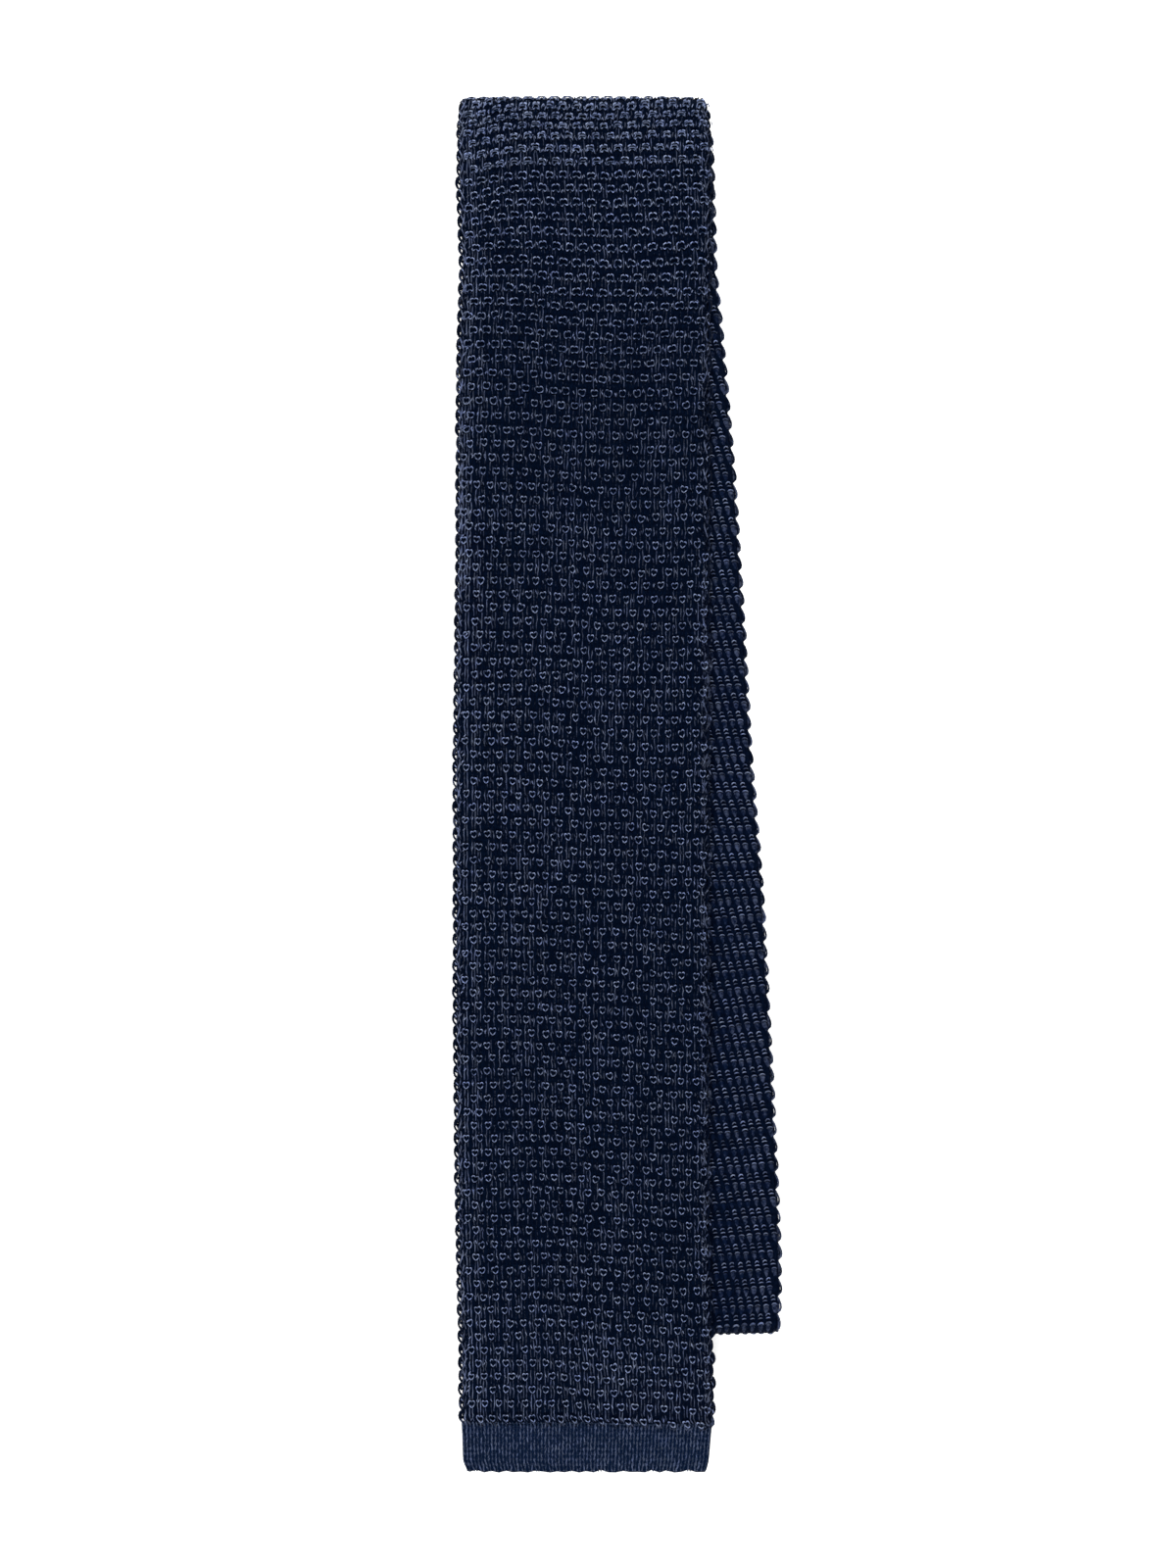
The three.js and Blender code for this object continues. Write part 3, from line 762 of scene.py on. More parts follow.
def heart_parts():
    """The heart stitches of the front, with a bar and two flecks on each where the top fold packs them."""
    generator = np.random.default_rng(SEED)
    along, aside, _ = heart_places()
    fold = near_fold(along)[:, None]
    upper = widening(along)[:, None]
    lift = 1.16 + 0.3 * (along[:, None] < FIRST_ROW + 1)
    wide, tall = HEART_WIDE + 0.26 * upper, HEART_TALL + 0.3 * upper - 0.34 * fold
    paths, painted_glint = heart_paths(along, aside, wide, tall, upper[:, 0], lift, generator)
    # Random tone, plus the chart's painted highlights scaled by the painted light along the front, plus
    # painted light by the left edge and by the band
    tone = generator.uniform(-0.04, 0.06, (len(along), 1)) + 1.12 * painted_front_light(along)[:, None] * painted_glint
    tone = tone + (0.14 * beside_left(aside) + 0.04 * near_band(along))[:, None]
    radius = HEART_YARN + 0.02 * upper + 0.04 * fold
    sets = [(paths, radius, radius, 4, True, tone)]
    packed = fold[:, 0] > 0.3
    # The bars and flecks are darker at their ends and lighter in their raised middle, a painted highlight
    tone = generator.uniform(0.0, 0.35, (packed.sum(), 1)) + np.array([-0.2, 0.12, 0.12, -0.2])
    sets.append(strokes((along[packed] + 0.1, aside[packed]), BAR, 0.9, 0.17, tone, generator))
    for way in (-1, 1):
        tone = generator.uniform(0.0, 0.6, (packed.sum(), 1)) + np.array([-0.2, 0.2, 0.1, -0.2])
        places = along[packed] - 0.5, aside[packed] + 0.95 * way
        sets.append(strokes(places, FLECK * np.array([1.1, way, 1.05]), 1.0, 0.16, tone, generator))
    return sets


def under_places():
    """Place of the heart stitches that show only from below: on the narrow blade, and beside it on the
    second layer."""
    cloth = tie_cloth()
    along, aside = [], []
    tail_end = cloth.along_at("tail", TAIL_INSET + NARROW_BAND_HEIGHT)
    for start, end, columns, from_right in (
            (cloth.reach["tail"][0] + 4.0, tail_end - 1.0, 12, False),
            (cloth.reach["second"][0] + 12.0, cloth.reach["second"][1] - 2.0, 7, True)):
        rows = np.arange(start, end, HEART_ROW)
        grids = np.meshgrid(np.arange(len(rows)), np.arange(columns), indexing="ij")
        number, wale = (grid.ravel() for grid in grids)
        width = cloth.width(rows[number])
        place = (wale + 0.5 * (number % 2)) * UNDER_COLUMN
        across = width - 2.4 - place if from_right else width / 2 + place - columns * UNDER_COLUMN / 2
        kept = (across > 2.2) & (across < width - 2.2)
        along.append(rows[number][kept])
        aside.append(across[kept])
    return np.concatenate(along), np.concatenate(aside)


def under_parts():
    """The heart stitches that show only from below, on fewer points each."""
    generator = np.random.default_rng(SEED + 7)
    along, aside = under_places()
    paths, painted_glint = heart_paths(along, aside, HEART_WIDE, HEART_TALL, np.zeros(len(along)), 1.0, generator)
    paths[..., 2] = np.clip(paths[..., 2], 1.08, 1.3)
    # Random tone plus the chart's painted highlights and painted shade
    tone = generator.uniform(-0.04, 0.06, (len(along), 1)) + painted_glint
    return [(paths[:, SPARSE_HEART], HEART_YARN, HEART_YARN, 4, True, tone[:, SPARSE_HEART])]


def leg_parts():
    """Two long legs below each heart stitch of the front, down to the next one of its column."""
    generator = np.random.default_rng(SEED + 1)
    along, aside, gap = heart_places()
    sets = []
    for side in (-1, 1):
        count = len(along)
        start = along - 0.6
        length = np.maximum(gap - 1.5, 1.5)
        wobble = generator.normal(0.0, 0.1, (count, len(LEG)))
        paths = np.stack([
            start[:, None] - LEG[:, 0] * length[:, None],
            aside[:, None] + side * LEG[:, 1] + wobble,
            LEG[:, 2] + generator.normal(0.0, 0.05, (count, len(LEG)))], -1)
        # A painted glint where some legs rise highest, and painted light by the left edge and by the band
        painted_crest_glint = np.exp(-(((LEG[:, 0] - 0.55) / 0.16) ** 2))
        tone = generator.uniform(-0.07, 0.1, (count, 1)) + generator.uniform(0.0, 0.2, (count, 1)) * painted_crest_glint
        tone = tone + generator.normal(0.0, 0.09, (count, len(LEG)))
        tone = tone + (0.16 * beside_left(aside) + 0.1 * near_band(along))[:, None]
        sets.append((paths, LEG_YARN, LEG_YARN, 4, False, tone))
    return sets


def fleck_parts():
    """Short flecks of yarn between the heart stitches of the front."""
    generator = np.random.default_rng(SEED + 6)
    along, aside, _ = heart_places()
    upper = widening(along)
    # Painted light towards the top fold, by the left edge and by the band
    lighter = upper + beside_left(aside) + near_band(along)
    sets = []
    for way, chance in ((1.0, 0.8), (-1.0, 0.12)):
        kept = generator.random(len(along)) < mix(chance, 0.95, np.maximum(upper, beside_left(aside)))
        count = kept.sum()
        up = generator.choice([0.0, 0.5], count) - mix(0.3, -0.15, upper[kept])
        places = along[kept] - up, aside[kept] + 0.5 * HEART_ROW + 0.34 * way * upper[kept]
        bright = generator.uniform(0.0, 0.7, (count, 1)) + 0.25 * lighter[kept, None]
        # Each fleck is lighter in its raised middle, a painted highlight
        tone = bright * np.array([0.1, 1.0, 0.8, 0.0])
        size = generator.uniform(0.6, 1.0, (count, 1)) * mix(1.0, 0.8, upper[kept, None])
        chart = FLECK * np.array([1.0, way, 1.0])
        sets.append(strokes(places, chart, size, FLECK_YARN, tone, generator, 0.2))
    return sets


# Marks of one stitch on the reverse: two small arcs, a crest and a smooth bump, as charted. Way
# down, place aside and height, in mm.
RIB_ARC = np.array([
    (0.48, -0.7, 1.0), (0.12, -0.5, 1.28), (-0.16, -0.08, 1.42), (-0.06, 0.36, 1.34), (0.3, 0.6, 1.0),
])
RIB_LINK = np.array([
    (0.18, -0.66, 1.0), (0.04, -0.4, 1.26), (-0.06, 0.0, 1.36), (-0.02, 0.36, 1.3), (0.14, 0.64, 1.0),
])
RIB_CREST = np.array([
    (2.5, -0.82, 1.0), (2.16, -0.5, 1.36), (2.05, 0.0, 1.48), (2.16, 0.5, 1.36), (2.5, 0.82, 1.0),
])
# The bump below it: way down, half width, half height, height of its middle
RIB_BUMP = np.array([
    (2.1, 0.3, 0.2, 0.9), (2.35, 0.64, 0.34, 0.94), (2.9, 0.82, 0.4, 0.92), (3.6, 0.88, 0.36, 0.88),
    (4.3, 0.86, 0.32, 0.84), (4.9, 0.6, 0.22, 0.8),
])
# How much the rows of the reverse rise towards the right: distance below the top fold, slope
RIB_TILT = np.array([
    (0.0, 0.03), (205.0, 0.02), (232.0, 0.08), (260.0, 0.13), (287.0, 0.1), (314.0, 0.07), (347.0, 0.05),
])
RIB_COLUMNS, RIB_MARGIN = 11, 2.4  # as many columns as can be seen, the first one this far from the edge


def rib_places():
    """Place and tilt of the stitches on the reverse of the second layer, as far as it can be seen."""
    cloth = tie_cloth()
    start, end = cloth.reach["top_fold"][0] + 3.0, cloth.reach["neck_fold"][1]
    rows = np.arange(start, end, RIB_ROW)
    number, wale = np.meshgrid(np.arange(len(rows)), np.arange(RIB_COLUMNS), indexing="ij")
    from_edge = RIB_MARGIN + RIB_WALE * (wale + 0.5 * (number % 2))
    along = rows[number] + 0 * from_edge
    tilt = np.interp(along - start, *RIB_TILT.T)
    along = along + tilt * from_edge
    return along.ravel(), (cloth.width(along) - from_edge).ravel(), tilt.ravel()


def rib_parts():
    """The arcs and crests of the reverse of the second layer, and its bumps, as two lists of sets."""
    generator = np.random.default_rng(SEED + 2)
    along, aside, tilt = rib_places()
    count = len(along)
    shift_along = generator.normal(0.0, 0.1, (count, 1))
    shift_aside = generator.normal(0.0, 0.1, (count, 1))
    from_edge = tie_cloth().width(along) - aside
    # Painted shadow: the columns further in from the strip's right edge, where the front lies beside them,
    # get darker
    shade = (0.12 * smooth(from_edge, 9.0, 18.0))[:, None]
    sets = []
    for chart, down, spread, aside_by, tones in (
            (RIB_ARC, -0.05, 0.92, 0.0, (0.2, 0.85)), (RIB_LINK, 0.95, 1.0, 0.05, (0.15, 0.8)),
            (RIB_CREST, -0.05, 0.95, 0.3, (0.15, 0.65))):
        x = chart[:, 1] * spread * generator.uniform(0.9, 1.1, (count, 1))
        paths = np.stack([
            along[:, None] + shift_along + down + chart[:, 0] - tilt[:, None] * x,
            aside[:, None] + shift_aside + x + aside_by,
            -chart[:, 2] + generator.normal(0.0, 0.03, (count, 1))], -1)
        # Each arc and crest is lighter in its raised middle, a painted highlight, and darker further from the
        # edge as painted shadow
        tone = generator.uniform(*tones, (count, 1)) * np.array([0.2, 0.8, 1.0, 0.8, 0.2]) - shade
        tone = tone + generator.normal(0.0, 0.06, (count, len(chart)))
        sets.append((paths, RIB_YARN, RIB_YARN, 4, False, tone))
    paths = np.stack([
        along[:, None] + shift_along + RIB_BUMP[:, 0],
        aside[:, None] + shift_aside + 0.3 + 0 * RIB_BUMP[:, 0],
        -RIB_BUMP[:, 3] + 0 * shift_along], -1)
    size = generator.uniform(0.92, 1.05, (count, 1))
    # Each bump is lightest at its top end, a painted highlight, and darker down its body and away from the
    # edge as painted shade
    tone = generator.uniform(0.0, 0.07, (count, 1)) + np.array([0.1, 0.05, 0.02, 0.01, 0.01, 0.0])
    tone = tone - 0.5 * shade + generator.normal(0.0, 0.03, (count, len(RIB_BUMP)))
    return sets, [(paths, RIB_BUMP[:, 1] * size, RIB_BUMP[:, 2] * size, 6, False, tone)]


def edge_set(starts, lengths, size, shape, side, generator, wide, tones):
    """Loops along one edge of the tie, each from one notch to the next. shape is the way along as a
    share of the length, the place out from the edge, and the height."""
    along = starts[:, None] + shape[:, 0] * lengths[:, None]
    reach = shape[:, 1] + (size[:, None] - 1) * (1.2 + shape[:, 1])
    reach = reach + generator.normal(0.0, 0.05, (len(starts), 1))
    aside = -reach if side < 0 else tie_cloth().width(along) + reach
    height = shape[:, 2] + generator.normal(0.0, 0.08, (len(starts), 1))
    tone = generator.uniform(*tones, (len(starts), 1)) * np.sin(np.linspace(0.3, np.pi - 0.3, len(shape)))
    tone = tone + generator.normal(0.0, 0.05, tone.shape)
    return np.stack([along, aside, height], -1), wide, wide, 6, False, tone


# Loops of the edges: share of the way from notch to notch, place out from the edge and height in mm. The
# loop leaves a small opening that the filling below it bounds.
FRONT_LOOP = np.array([
    (-0.05, -0.95, 0.1), (0.08, -0.45, 0.0), (0.24, 0.0, 0.0), (0.42, 0.2, 0.0), (0.64, 0.18, 0.0),
    (0.86, -0.05, 0.0), (1.03, -0.85, 0.1),
])
FRONT_FILLING = np.array([(0.46, -0.75, 0.1), (0.6, -0.24, 0.1), (0.82, -0.4, 0.1), (1.0, -0.9, 0.1)])
# The filling of the right edge, which leaves no opening
CLOSED_FILLING = np.array([
    (0.05, -0.9, 0.1), (0.3, -0.42, 0.1), (0.52, -0.3, 0.1), (0.76, -0.4, 0.1), (0.98, -0.9, 0.1),
])
# Two yarns of each row that cross over just inside the edge
BESIDE_EDGE = np.array([
    [(0.0, -0.8, 0.6), (0.25, -1.15, 1.05), (0.55, -1.6, 1.3), (0.85, -1.85, 1.3), (1.1, -1.75, 1.1)],
    [(0.1, -2.1, 1.25), (0.4, -1.75, 1.35), (0.7, -1.3, 1.1), (0.9, -0.95, 0.85), (1.05, -0.8, 0.6)],
])
# The same for the strip of the second layer, and the even loops of the layers that are hardly seen
STRIP_LOOP = np.array([
    (-0.06, -1.3, 0.2), (0.06, -0.95, 0.1), (0.3, -0.3, 0.0), (0.5, 0.05, 0.0), (0.66, 0.15, 0.0),
    (0.82, 0.0, 0.0), (0.94, -0.6, 0.1), (1.05, -1.2, 0.2),
])
STRIP_FILLING = np.array([
    (0.0, -1.0, 0.1), (0.16, -0.85, 0.1), (0.34, -0.62, 0.1), (0.6, -0.5, 0.1), (0.8, -0.45, 0.1),
    (0.98, -1.15, 0.1),
])
EVEN_LOOP = np.array([
    (-0.05, -1.3, 0.2), (0.1, -0.7, 0.1), (0.27, -0.3, 0.0), (0.5, -0.15, 0.0), (0.73, -0.3, 0.0),
    (0.9, -0.7, 0.1), (1.05, -1.3, 0.2),
])


def front_edge_parts():
    """The edge loops of the front: one for each row of hearts, by turns bigger and smaller."""
    cloth = tie_cloth()
    generator = np.random.default_rng(SEED + 3)
    rows = heart_rows()
    notches = np.concatenate([[rows[0] - 2.0], (rows[:-1] + rows[1:]) / 2])
    starts, lengths = notches[:-1], np.diff(notches)
    even = np.arange(len(starts)) % 2 == 0
    sets = []
    for side, big, small in ((-1, 1.0, 0.92), (1, 1.15, 0.7)):
        size = np.where(even if side < 0 else ~even, big, small)
        size = size * generator.uniform(0.93, 1.07, len(starts)) - 0.35 * near_fold(starts)
        for inwards, height in ((0.0, 0.3), (-0.08, -0.45)):
            shape = FRONT_LOOP + np.array([0.0, inwards, height])
            sets.append(edge_set(starts, lengths, size, shape, side, generator, 0.28, (-0.1, 0.1)))
            filling = FRONT_FILLING if side < 0 else CLOSED_FILLING
            shape = filling + np.array([-0.02, inwards, height])
            wide = 0.34 if side < 0 else generator.choice([0.4, 0.52, 0.52], (len(starts), 1))
            sets.append(edge_set(starts, lengths, size, shape, side, generator, wide, (-0.2, 0.08)))
        # The yarns beside the right edge, where the front lies on the strip, get lower tones as painted
        # shadow; those by the left edge get higher ones as painted light
        tones = (0.0, 0.6) if side < 0 else (-0.2, 0.36)
        for shape in BESIDE_EDGE:
            sets.append(edge_set(starts, lengths, np.ones(len(starts)), shape, side, generator, 0.18, tones))
        for from_edge in (1.1, 2.0, 2.9):
            near = starts + lengths * generator.uniform(0.2, 0.9, len(starts))
            aside = from_edge if side < 0 else cloth.width(near) - from_edge
            # Flecks by the left edge get higher tones as painted light, and each is lighter in its raised
            # middle, a painted highlight
            tone = generator.uniform(-0.1, 1.1 if side < 0 else 0.6, (len(near), 1))
            tone = tone * np.array([0.2, 1.0, 0.8, 0.1])
            way = generator.choice([-1.0, 1.0])
            chart = FLECK * np.array([0.7, way * 1.6, 1.0]) + np.array([0.0, 0.0, -0.1])
            places = near, aside + 0 * near
            sets.append(strokes(places, chart, 0.8, EDGE_STITCH, tone, generator, 0.25))
    return sets


def other_edge_parts():
    """The edge loops of the layers below."""
    cloth = tie_cloth()
    generator = np.random.default_rng(SEED + 4)
    sets = []
    starts = np.arange(cloth.reach["top_fold"][0] + 3.0, cloth.reach["neck_fold"][0] - 2.0, RIB_ROW)
    lengths, size = np.full(len(starts), RIB_ROW), np.ones(len(starts))
    for side in (-1, 1):
        for inwards, height in ((0.0, 0.3), (-0.1, -0.4)):
            shape = STRIP_LOOP + np.array([0.0, inwards, height])
            sets.append(edge_set(starts, lengths, size, shape, side, generator, 0.26, (0.0, 0.2)))
            shape = STRIP_FILLING + np.array([0.0, inwards, height])
            sets.append(edge_set(starts, lengths, size, shape, side, generator, 0.34, (-0.1, 0.1)))
    starts = np.arange(cloth.reach["neck_fold"][0] - 1.0, cloth.reach["tail"][1] - 16, HEART_ROW)
    lengths, size = np.full(len(starts), HEART_ROW), np.ones(len(starts))
    for side in (-1, 1):
        for height in (0.55, -0.55):
            shape = EVEN_LOOP + np.array([0.0, 0.0, height])
            sets.append(edge_set(starts, lengths, size, shape, side, generator, 0.3, (-0.1, 0.2)))
    return sets


# One leg of a plain stitch: share of the course, place aside and height, in mm
PLAIN_LEG = np.array([
    (-0.35, 0.34, 0.72), (0.0, 0.36, 0.98), (0.45, 0.48, 1.06), (0.9, 0.6, 0.98), (1.25, 0.62, 0.72),
])


def plain_parts(start, height):
    """Plain stitches on the face of an end band: columns of two legs that lean apart as they rise."""
    cloth = tie_cloth()
    generator = np.random.default_rng(SEED + 5)
    rows = start + COURSE * np.arange(int(height / COURSE))
    width = float(cloth.width(start))
    wales = int((width + 0.8) / WALE)
    margin = (width - wales * WALE) / 2
    row, wale = (grid.ravel() for grid in np.meshgrid(rows, np.arange(wales) + 0.5, indexing="ij"))
    sets = []
    for side in (-1, 1):
        wobble = generator.normal(0.0, 0.06, (len(row), len(PLAIN_LEG)))
        along = row[:, None] + PLAIN_LEG[:, 0] * COURSE
        stretch = cloth.width(along) / width
        paths = np.stack([
            along, (margin + wale[:, None] * WALE + side * PLAIN_LEG[:, 1] + wobble) * stretch,
            PLAIN_LEG[:, 2] + 0 * wobble], -1)
        tone = generator.uniform(0.03, 0.15, (len(row), 1)) + generator.normal(0.0, 0.07, wobble.shape)
        sets.append((paths, 0.25, 0.24, 4, False, tone))
    return sets


def seam_parts():
    """The two dark yarns that join the broad end's band to the blade, one near its face and one near its
    reverse. They close the gap between the two."""
    count = 36
    along = np.full(count, BROAD_BAND_HEIGHT - PIECE_GAP / 2)
    aside = np.linspace(0.5, float(tie_cloth().width(along[0])) - 0.5, count)
    paths = np.stack([np.stack([along, aside, np.full(count, height)], -1) for height in (0.6, -0.6)])
    return [(paths, 0.45, 0.35, 4, False, np.zeros((2, count)))]


class TIE_PG_sizes(bpy.types.PropertyGroup):
    """Sizes of the stage; the tie's own sizes are the CAD part's."""

    lamp_height: FloatProperty(name="Lamp height", description="Height of the two long lamps above the floor",
                               default=1.1, unit="LENGTH")
    lamp_distance: FloatProperty(name="Lamp distance", description="Distance of the lamps beyond each end",
                                 default=1.25, unit="LENGTH")
    camera_height: FloatProperty(name="Camera height", description="Height of the camera above the floor",
                                 default=1.2178, unit="LENGTH")


class TIE_PG_colours(bpy.types.PropertyGroup):
    """Colours of the silk and of the floor."""

    silk_dark: FloatVectorProperty(name="Silk, dark", description="Darkest stitches of the navy silk",
                                   subtype="COLOR", size=3, default=(0.0005, 0.0026, 0.0135))
    # The silk's light colour shows mostly where painted highlights lie
    silk_light: FloatVectorProperty(name="Silk, light", description="Lightest stitches of the navy silk",
                                    subtype="COLOR", size=3, default=(0.225, 0.268, 0.4))
    # The ground's dark colour is painted shade in the gaps between its strands
    ground_dark: FloatVectorProperty(name="Ground, dark", description="Gaps between the ground's strands",
                                     subtype="COLOR", size=3, default=(0.0, 0.0007, 0.0035))
    ground_light: FloatVectorProperty(name="Ground, light", description="Strands of the ground knit",
                                      subtype="COLOR", size=3, default=(0.001, 0.004, 0.0145))
    floor: FloatVectorProperty(name="Floor", description="Pale floor that the tie lies on",
                               subtype="COLOR", size=3, default=(0.86, 0.86, 0.86))


def silk(context, name, roughness, gloss, darker=1.0):
    """A silk material in the scene's colours, with its dark one made darker."""
    colours = context.scene.tie_colours
    dark = tuple(darker * part for part in colours.silk_dark)
    return silk_material(name, dark, colours.silk_light, roughness, gloss)


class TIE_OT_blades(bpy.types.Operator):
    """Makes the ground knit of the broad and the narrow blade"""

    bl_idname = "tie.make_blades"
    bl_label = "Blades"

    def execute(self, context):
        cloth = tie_cloth()
        colours = context.scene.tie_colours
        dark, light = colours.ground_dark, colours.ground_light
        material = ground_material("tuck_ground", dark, light, 2.0, 1.0, 0.0003)
        join = cloth.along_at("neck", (cloth.heights["neck"][0] + cloth.heights["neck"][-1]) / 2)
        stretches = {
            "broad_blade": (cloth.along_at("front", BROAD_BAND_HEIGHT), join - PIECE_GAP / 2),
            "narrow_blade": (join + PIECE_GAP / 2, cloth.along_at("tail", TAIL_INSET + NARROW_BAND_HEIGHT)),
        }
        for node, (start, end) in stretches.items():
            inside = cloth.along[(cloth.along > start + 0.5) & (cloth.along < end - 0.5)]
            along = np.concatenate([[start], inside, [end]])
            piece = tube_piece(node + "_knit", along, np.full(len(along), GROUND), (1.8, 1.8), material)
            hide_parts(node)
            flat_area(start, end)
        return {"FINISHED"}


class TIE_OT_bands(bpy.types.Operator):
    """Makes the plain knitted band that closes each end"""

    bl_idname = "tie.make_bands"
    bl_label = "End bands"

    def execute(self, context):
        cloth = tie_cloth()
        colours = context.scene.tie_colours
        # The band's dark colour is painted shade in the gaps between its strands
        dark, light = (tuple(share * c for c in colours.ground_light) for share in (0.6, 2.2))
        material = ground_material("plain_ground", dark, light, 2.0, 2.5, 0.0002)
        tail_end = cloth.along_at("tail", TAIL_INSET)
        for name, end, way, height in (
                ("broad", 0.0, 1, BROAD_BAND_HEIGHT), ("narrow", tail_end, -1, NARROW_BAND_HEIGHT)):
            steps = np.array([0.0, 0.3, 0.8, 1.6, *np.linspace(2.6, height - PIECE_GAP, 8)])
            thick = np.array([0.35, 0.6, 0.8, 0.9, *np.full(8, 0.95)])
            along = end + way * steps

            def scalloped(rings, end=end, way=way):
                share = 1 - smooth(way * (rings[..., 0] - end), 0.0, 4.0)
                turn = rings[..., 1] * 0.86 + 0.9 * np.sin(rings[..., 1] * 0.31)
                rings[..., 0] -= way * share * (1.1 * np.sqrt(np.abs(np.sin(turn))) - 0.65)
                return rings

            piece = tube_piece(name + "_band_knit", along, thick, (0.7, 0.45), material, scalloped)
            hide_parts(name + "_end_band")
            if name == "broad":
                parts = plain_parts(0.6, height + 0.6) + seam_parts()
                stitches = yarn_piece("broad_band_stitches", parts, silk(context, "plain_silk", 0.55, 0.3))
        return {"FINISHED"}


class TIE_OT_hearts(bpy.types.Operator):
    """Makes the heart stitches of the front"""

    bl_idname = "tie.make_hearts"
    bl_label = "Heart stitches"

    def execute(self, context):
        material = silk(context, "heart_silk", 0.42, 0.2)
        piece = yarn_piece("front_heart_stitches", heart_parts(), material, drift=True)
        return {"FINISHED"}


class TIE_OT_under(bpy.types.Operator):
    """Makes the heart stitches that show only from below"""

    bl_idname = "tie.make_under"
    bl_label = "Heart stitches below"

    def execute(self, context):
        piece = yarn_piece("under_heart_stitches", under_parts(), silk(context, "under_silk", 0.42, 0.2))
        return {"FINISHED"}


class TIE_OT_legs(bpy.types.Operator):
    """Makes the long legs and the short flecks of yarn between the heart stitches of the front"""

    bl_idname = "tie.make_legs"
    bl_label = "Long legs"

    def execute(self, context):
        # The dark colour of the legs and flecks is made darker still: painted shade for the legs that lie
        # deep between the hearts
        material = silk(context, "leg_silk", 0.5, 0.05, darker=0.4)
        for piece in (yarn_piece("front_long_legs", leg_parts(), material, drift=True),
                      yarn_piece("front_flecks", fleck_parts(), material, drift=True)):
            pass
        return {"FINISHED"}


class TIE_OT_ribs(bpy.types.Operator):
    """Makes the stitches on the reverse of the second layer, where it shows beside the front"""

    bl_idname = "tie.make_ribs"
    bl_label = "Reverse ribs"

    def execute(self, context):
        arcs, bumps = rib_parts()
        for piece in (yarn_piece("second_layer_arcs", arcs, silk(context, "rib_silk", 0.44, 0.2)),
                      yarn_piece("second_layer_bumps", bumps, silk(context, "bump_silk", 0.6, 0.08))):
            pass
        return {"FINISHED"}


class TIE_OT_edges(bpy.types.Operator):
    """Makes the loops along the edges"""

    bl_idname = "tie.make_edges"
    bl_label = "Edge loops"

    def execute(self, context):
        material = silk(context, "edge_silk", 0.6, 0.05, darker=0.5)
        for piece in (yarn_piece("front_edge_loops", front_edge_parts(), material, drift=True),
                      yarn_piece("other_edge_loops", other_edge_parts(), material)):
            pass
        return {"FINISHED"}


def area_lamp(name, place, target, size, energy):
    """A soft rectangular lamp at a place, turned towards a target."""
    data = bpy.data.lights.new(name, "AREA")
    data.shape = "RECTANGLE"
    data.size, data.size_y = size
    data.energy = energy
    lamp = bpy.data.objects.new(name, data)
    lamp.location = place
    lamp.rotation_euler = (Vector(target) - Vector(place)).to_track_quat("-Z", "Y").to_euler()
    bpy.context.scene.collection.objects.link(lamp)


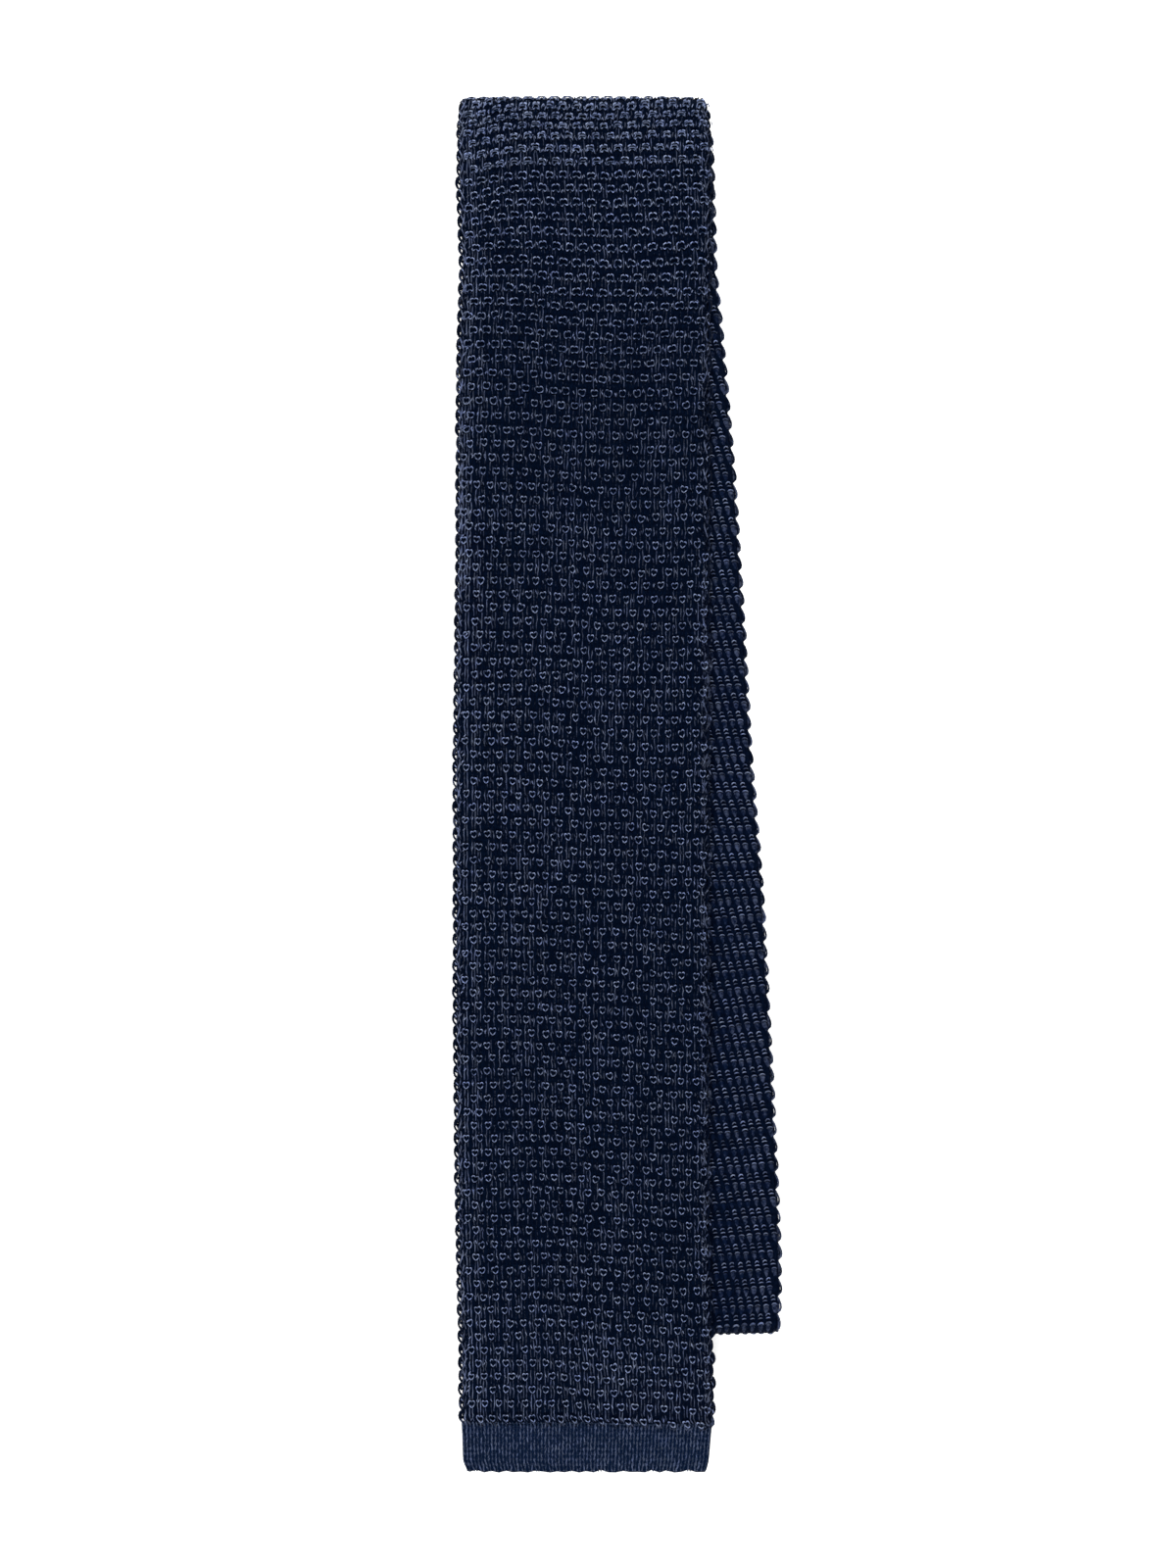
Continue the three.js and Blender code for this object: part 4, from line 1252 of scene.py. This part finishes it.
class TIE_OT_stage(bpy.types.Operator):
    """Makes the pale floor, the soft lamps, the surrounding light and the camera"""

    bl_idname = "tie.make_stage"
    bl_label = "Stage"

    def execute(self, context):
        scene = context.scene
        sizes, colours = scene.tie_sizes, scene.tie_colours
        mesh = bpy.data.meshes.new("floor")
        corners = [(x * FLOOR_REACH, y * FLOOR_REACH, 0) for x, y in ((-1, -1), (1, -1), (1, 1), (-1, 1))]
        mesh.from_pydata(corners, [], [(0, 1, 2, 3)])
        floor = bpy.data.objects.new("floor", mesh)
        material = bpy.data.materials.new("pale_floor")
        material.use_nodes = True
        shader = material.node_tree.nodes["Principled BSDF"]
        shader.inputs["Base Color"].default_value = (*colours.floor, 1)
        shader.inputs["Roughness"].default_value = 0.9
        shader.inputs["Emission Color"].default_value = (*colours.floor, 1)
        shader.inputs["Emission Strength"].default_value = 0.55
        mesh.materials.append(material)
        scene.collection.objects.link(floor)
        for name, way, energy in (("top_lamp", 1, 42.0), ("bottom_lamp", -1, 36.0)):
            place = (0.0, way * sizes.lamp_distance, sizes.lamp_height)
            area_lamp(name, place, (0, 0, 0), (1.4, 0.5), energy)
        world = bpy.data.worlds.new("surroundings")
        world.use_nodes = True
        background = world.node_tree.nodes["Background"]
        background.inputs["Color"].default_value = (0.95, 0.97, 1.0, 1)
        background.inputs["Strength"].default_value = 0.08
        scene.world = world
        scene.view_settings.view_transform = "Standard"
        camera_data = bpy.data.cameras.new("camera")
        camera_data.lens = 100
        camera_data.sensor_width = 36
        camera = bpy.data.objects.new("camera", camera_data)
        camera.location = (-0.0083, 0.0004, sizes.camera_height)
        scene.collection.objects.link(camera)
        scene.camera = camera
        return {"FINISHED"}


OPERATORS = (TIE_OT_blades, TIE_OT_bands, TIE_OT_hearts, TIE_OT_under, TIE_OT_legs, TIE_OT_ribs,
             TIE_OT_edges, TIE_OT_stage)


class TIE_PT_panel(bpy.types.Panel):
    """Lists the pieces of the tie and its stage"""

    bl_label = "Knit Tie"
    bl_idname = "TIE_PT_panel"
    bl_space_type = "VIEW_3D"
    bl_region_type = "UI"
    bl_category = "Tie"

    def draw(self, context):
        for operator in OPERATORS:
            self.layout.operator(operator.bl_idname)
        for group in (context.scene.tie_sizes, context.scene.tie_colours):
            for name in group.bl_rna.properties.keys():
                if name not in ("rna_type", "name"):
                    self.layout.prop(group, name)


CLASSES = (TIE_PG_sizes, TIE_PG_colours, *OPERATORS, TIE_PT_panel)


def register():
    for made in CLASSES:
        bpy.utils.register_class(made)
    bpy.types.Scene.tie_sizes = PointerProperty(type=TIE_PG_sizes)
    bpy.types.Scene.tie_colours = PointerProperty(type=TIE_PG_colours)


def unregister():
    del bpy.types.Scene.tie_colours
    del bpy.types.Scene.tie_sizes
    for made in reversed(CLASSES):
        bpy.utils.unregister_class(made)


def main():
    register()
    bpy.ops.tie.make_blades()
    bpy.ops.tie.make_bands()
    bpy.ops.tie.make_hearts()
    bpy.ops.tie.make_under()
    bpy.ops.tie.make_legs()
    bpy.ops.tie.make_ribs()
    bpy.ops.tie.make_edges()
    bpy.ops.tie.make_stage()


if __name__ == "__main__":
    main()
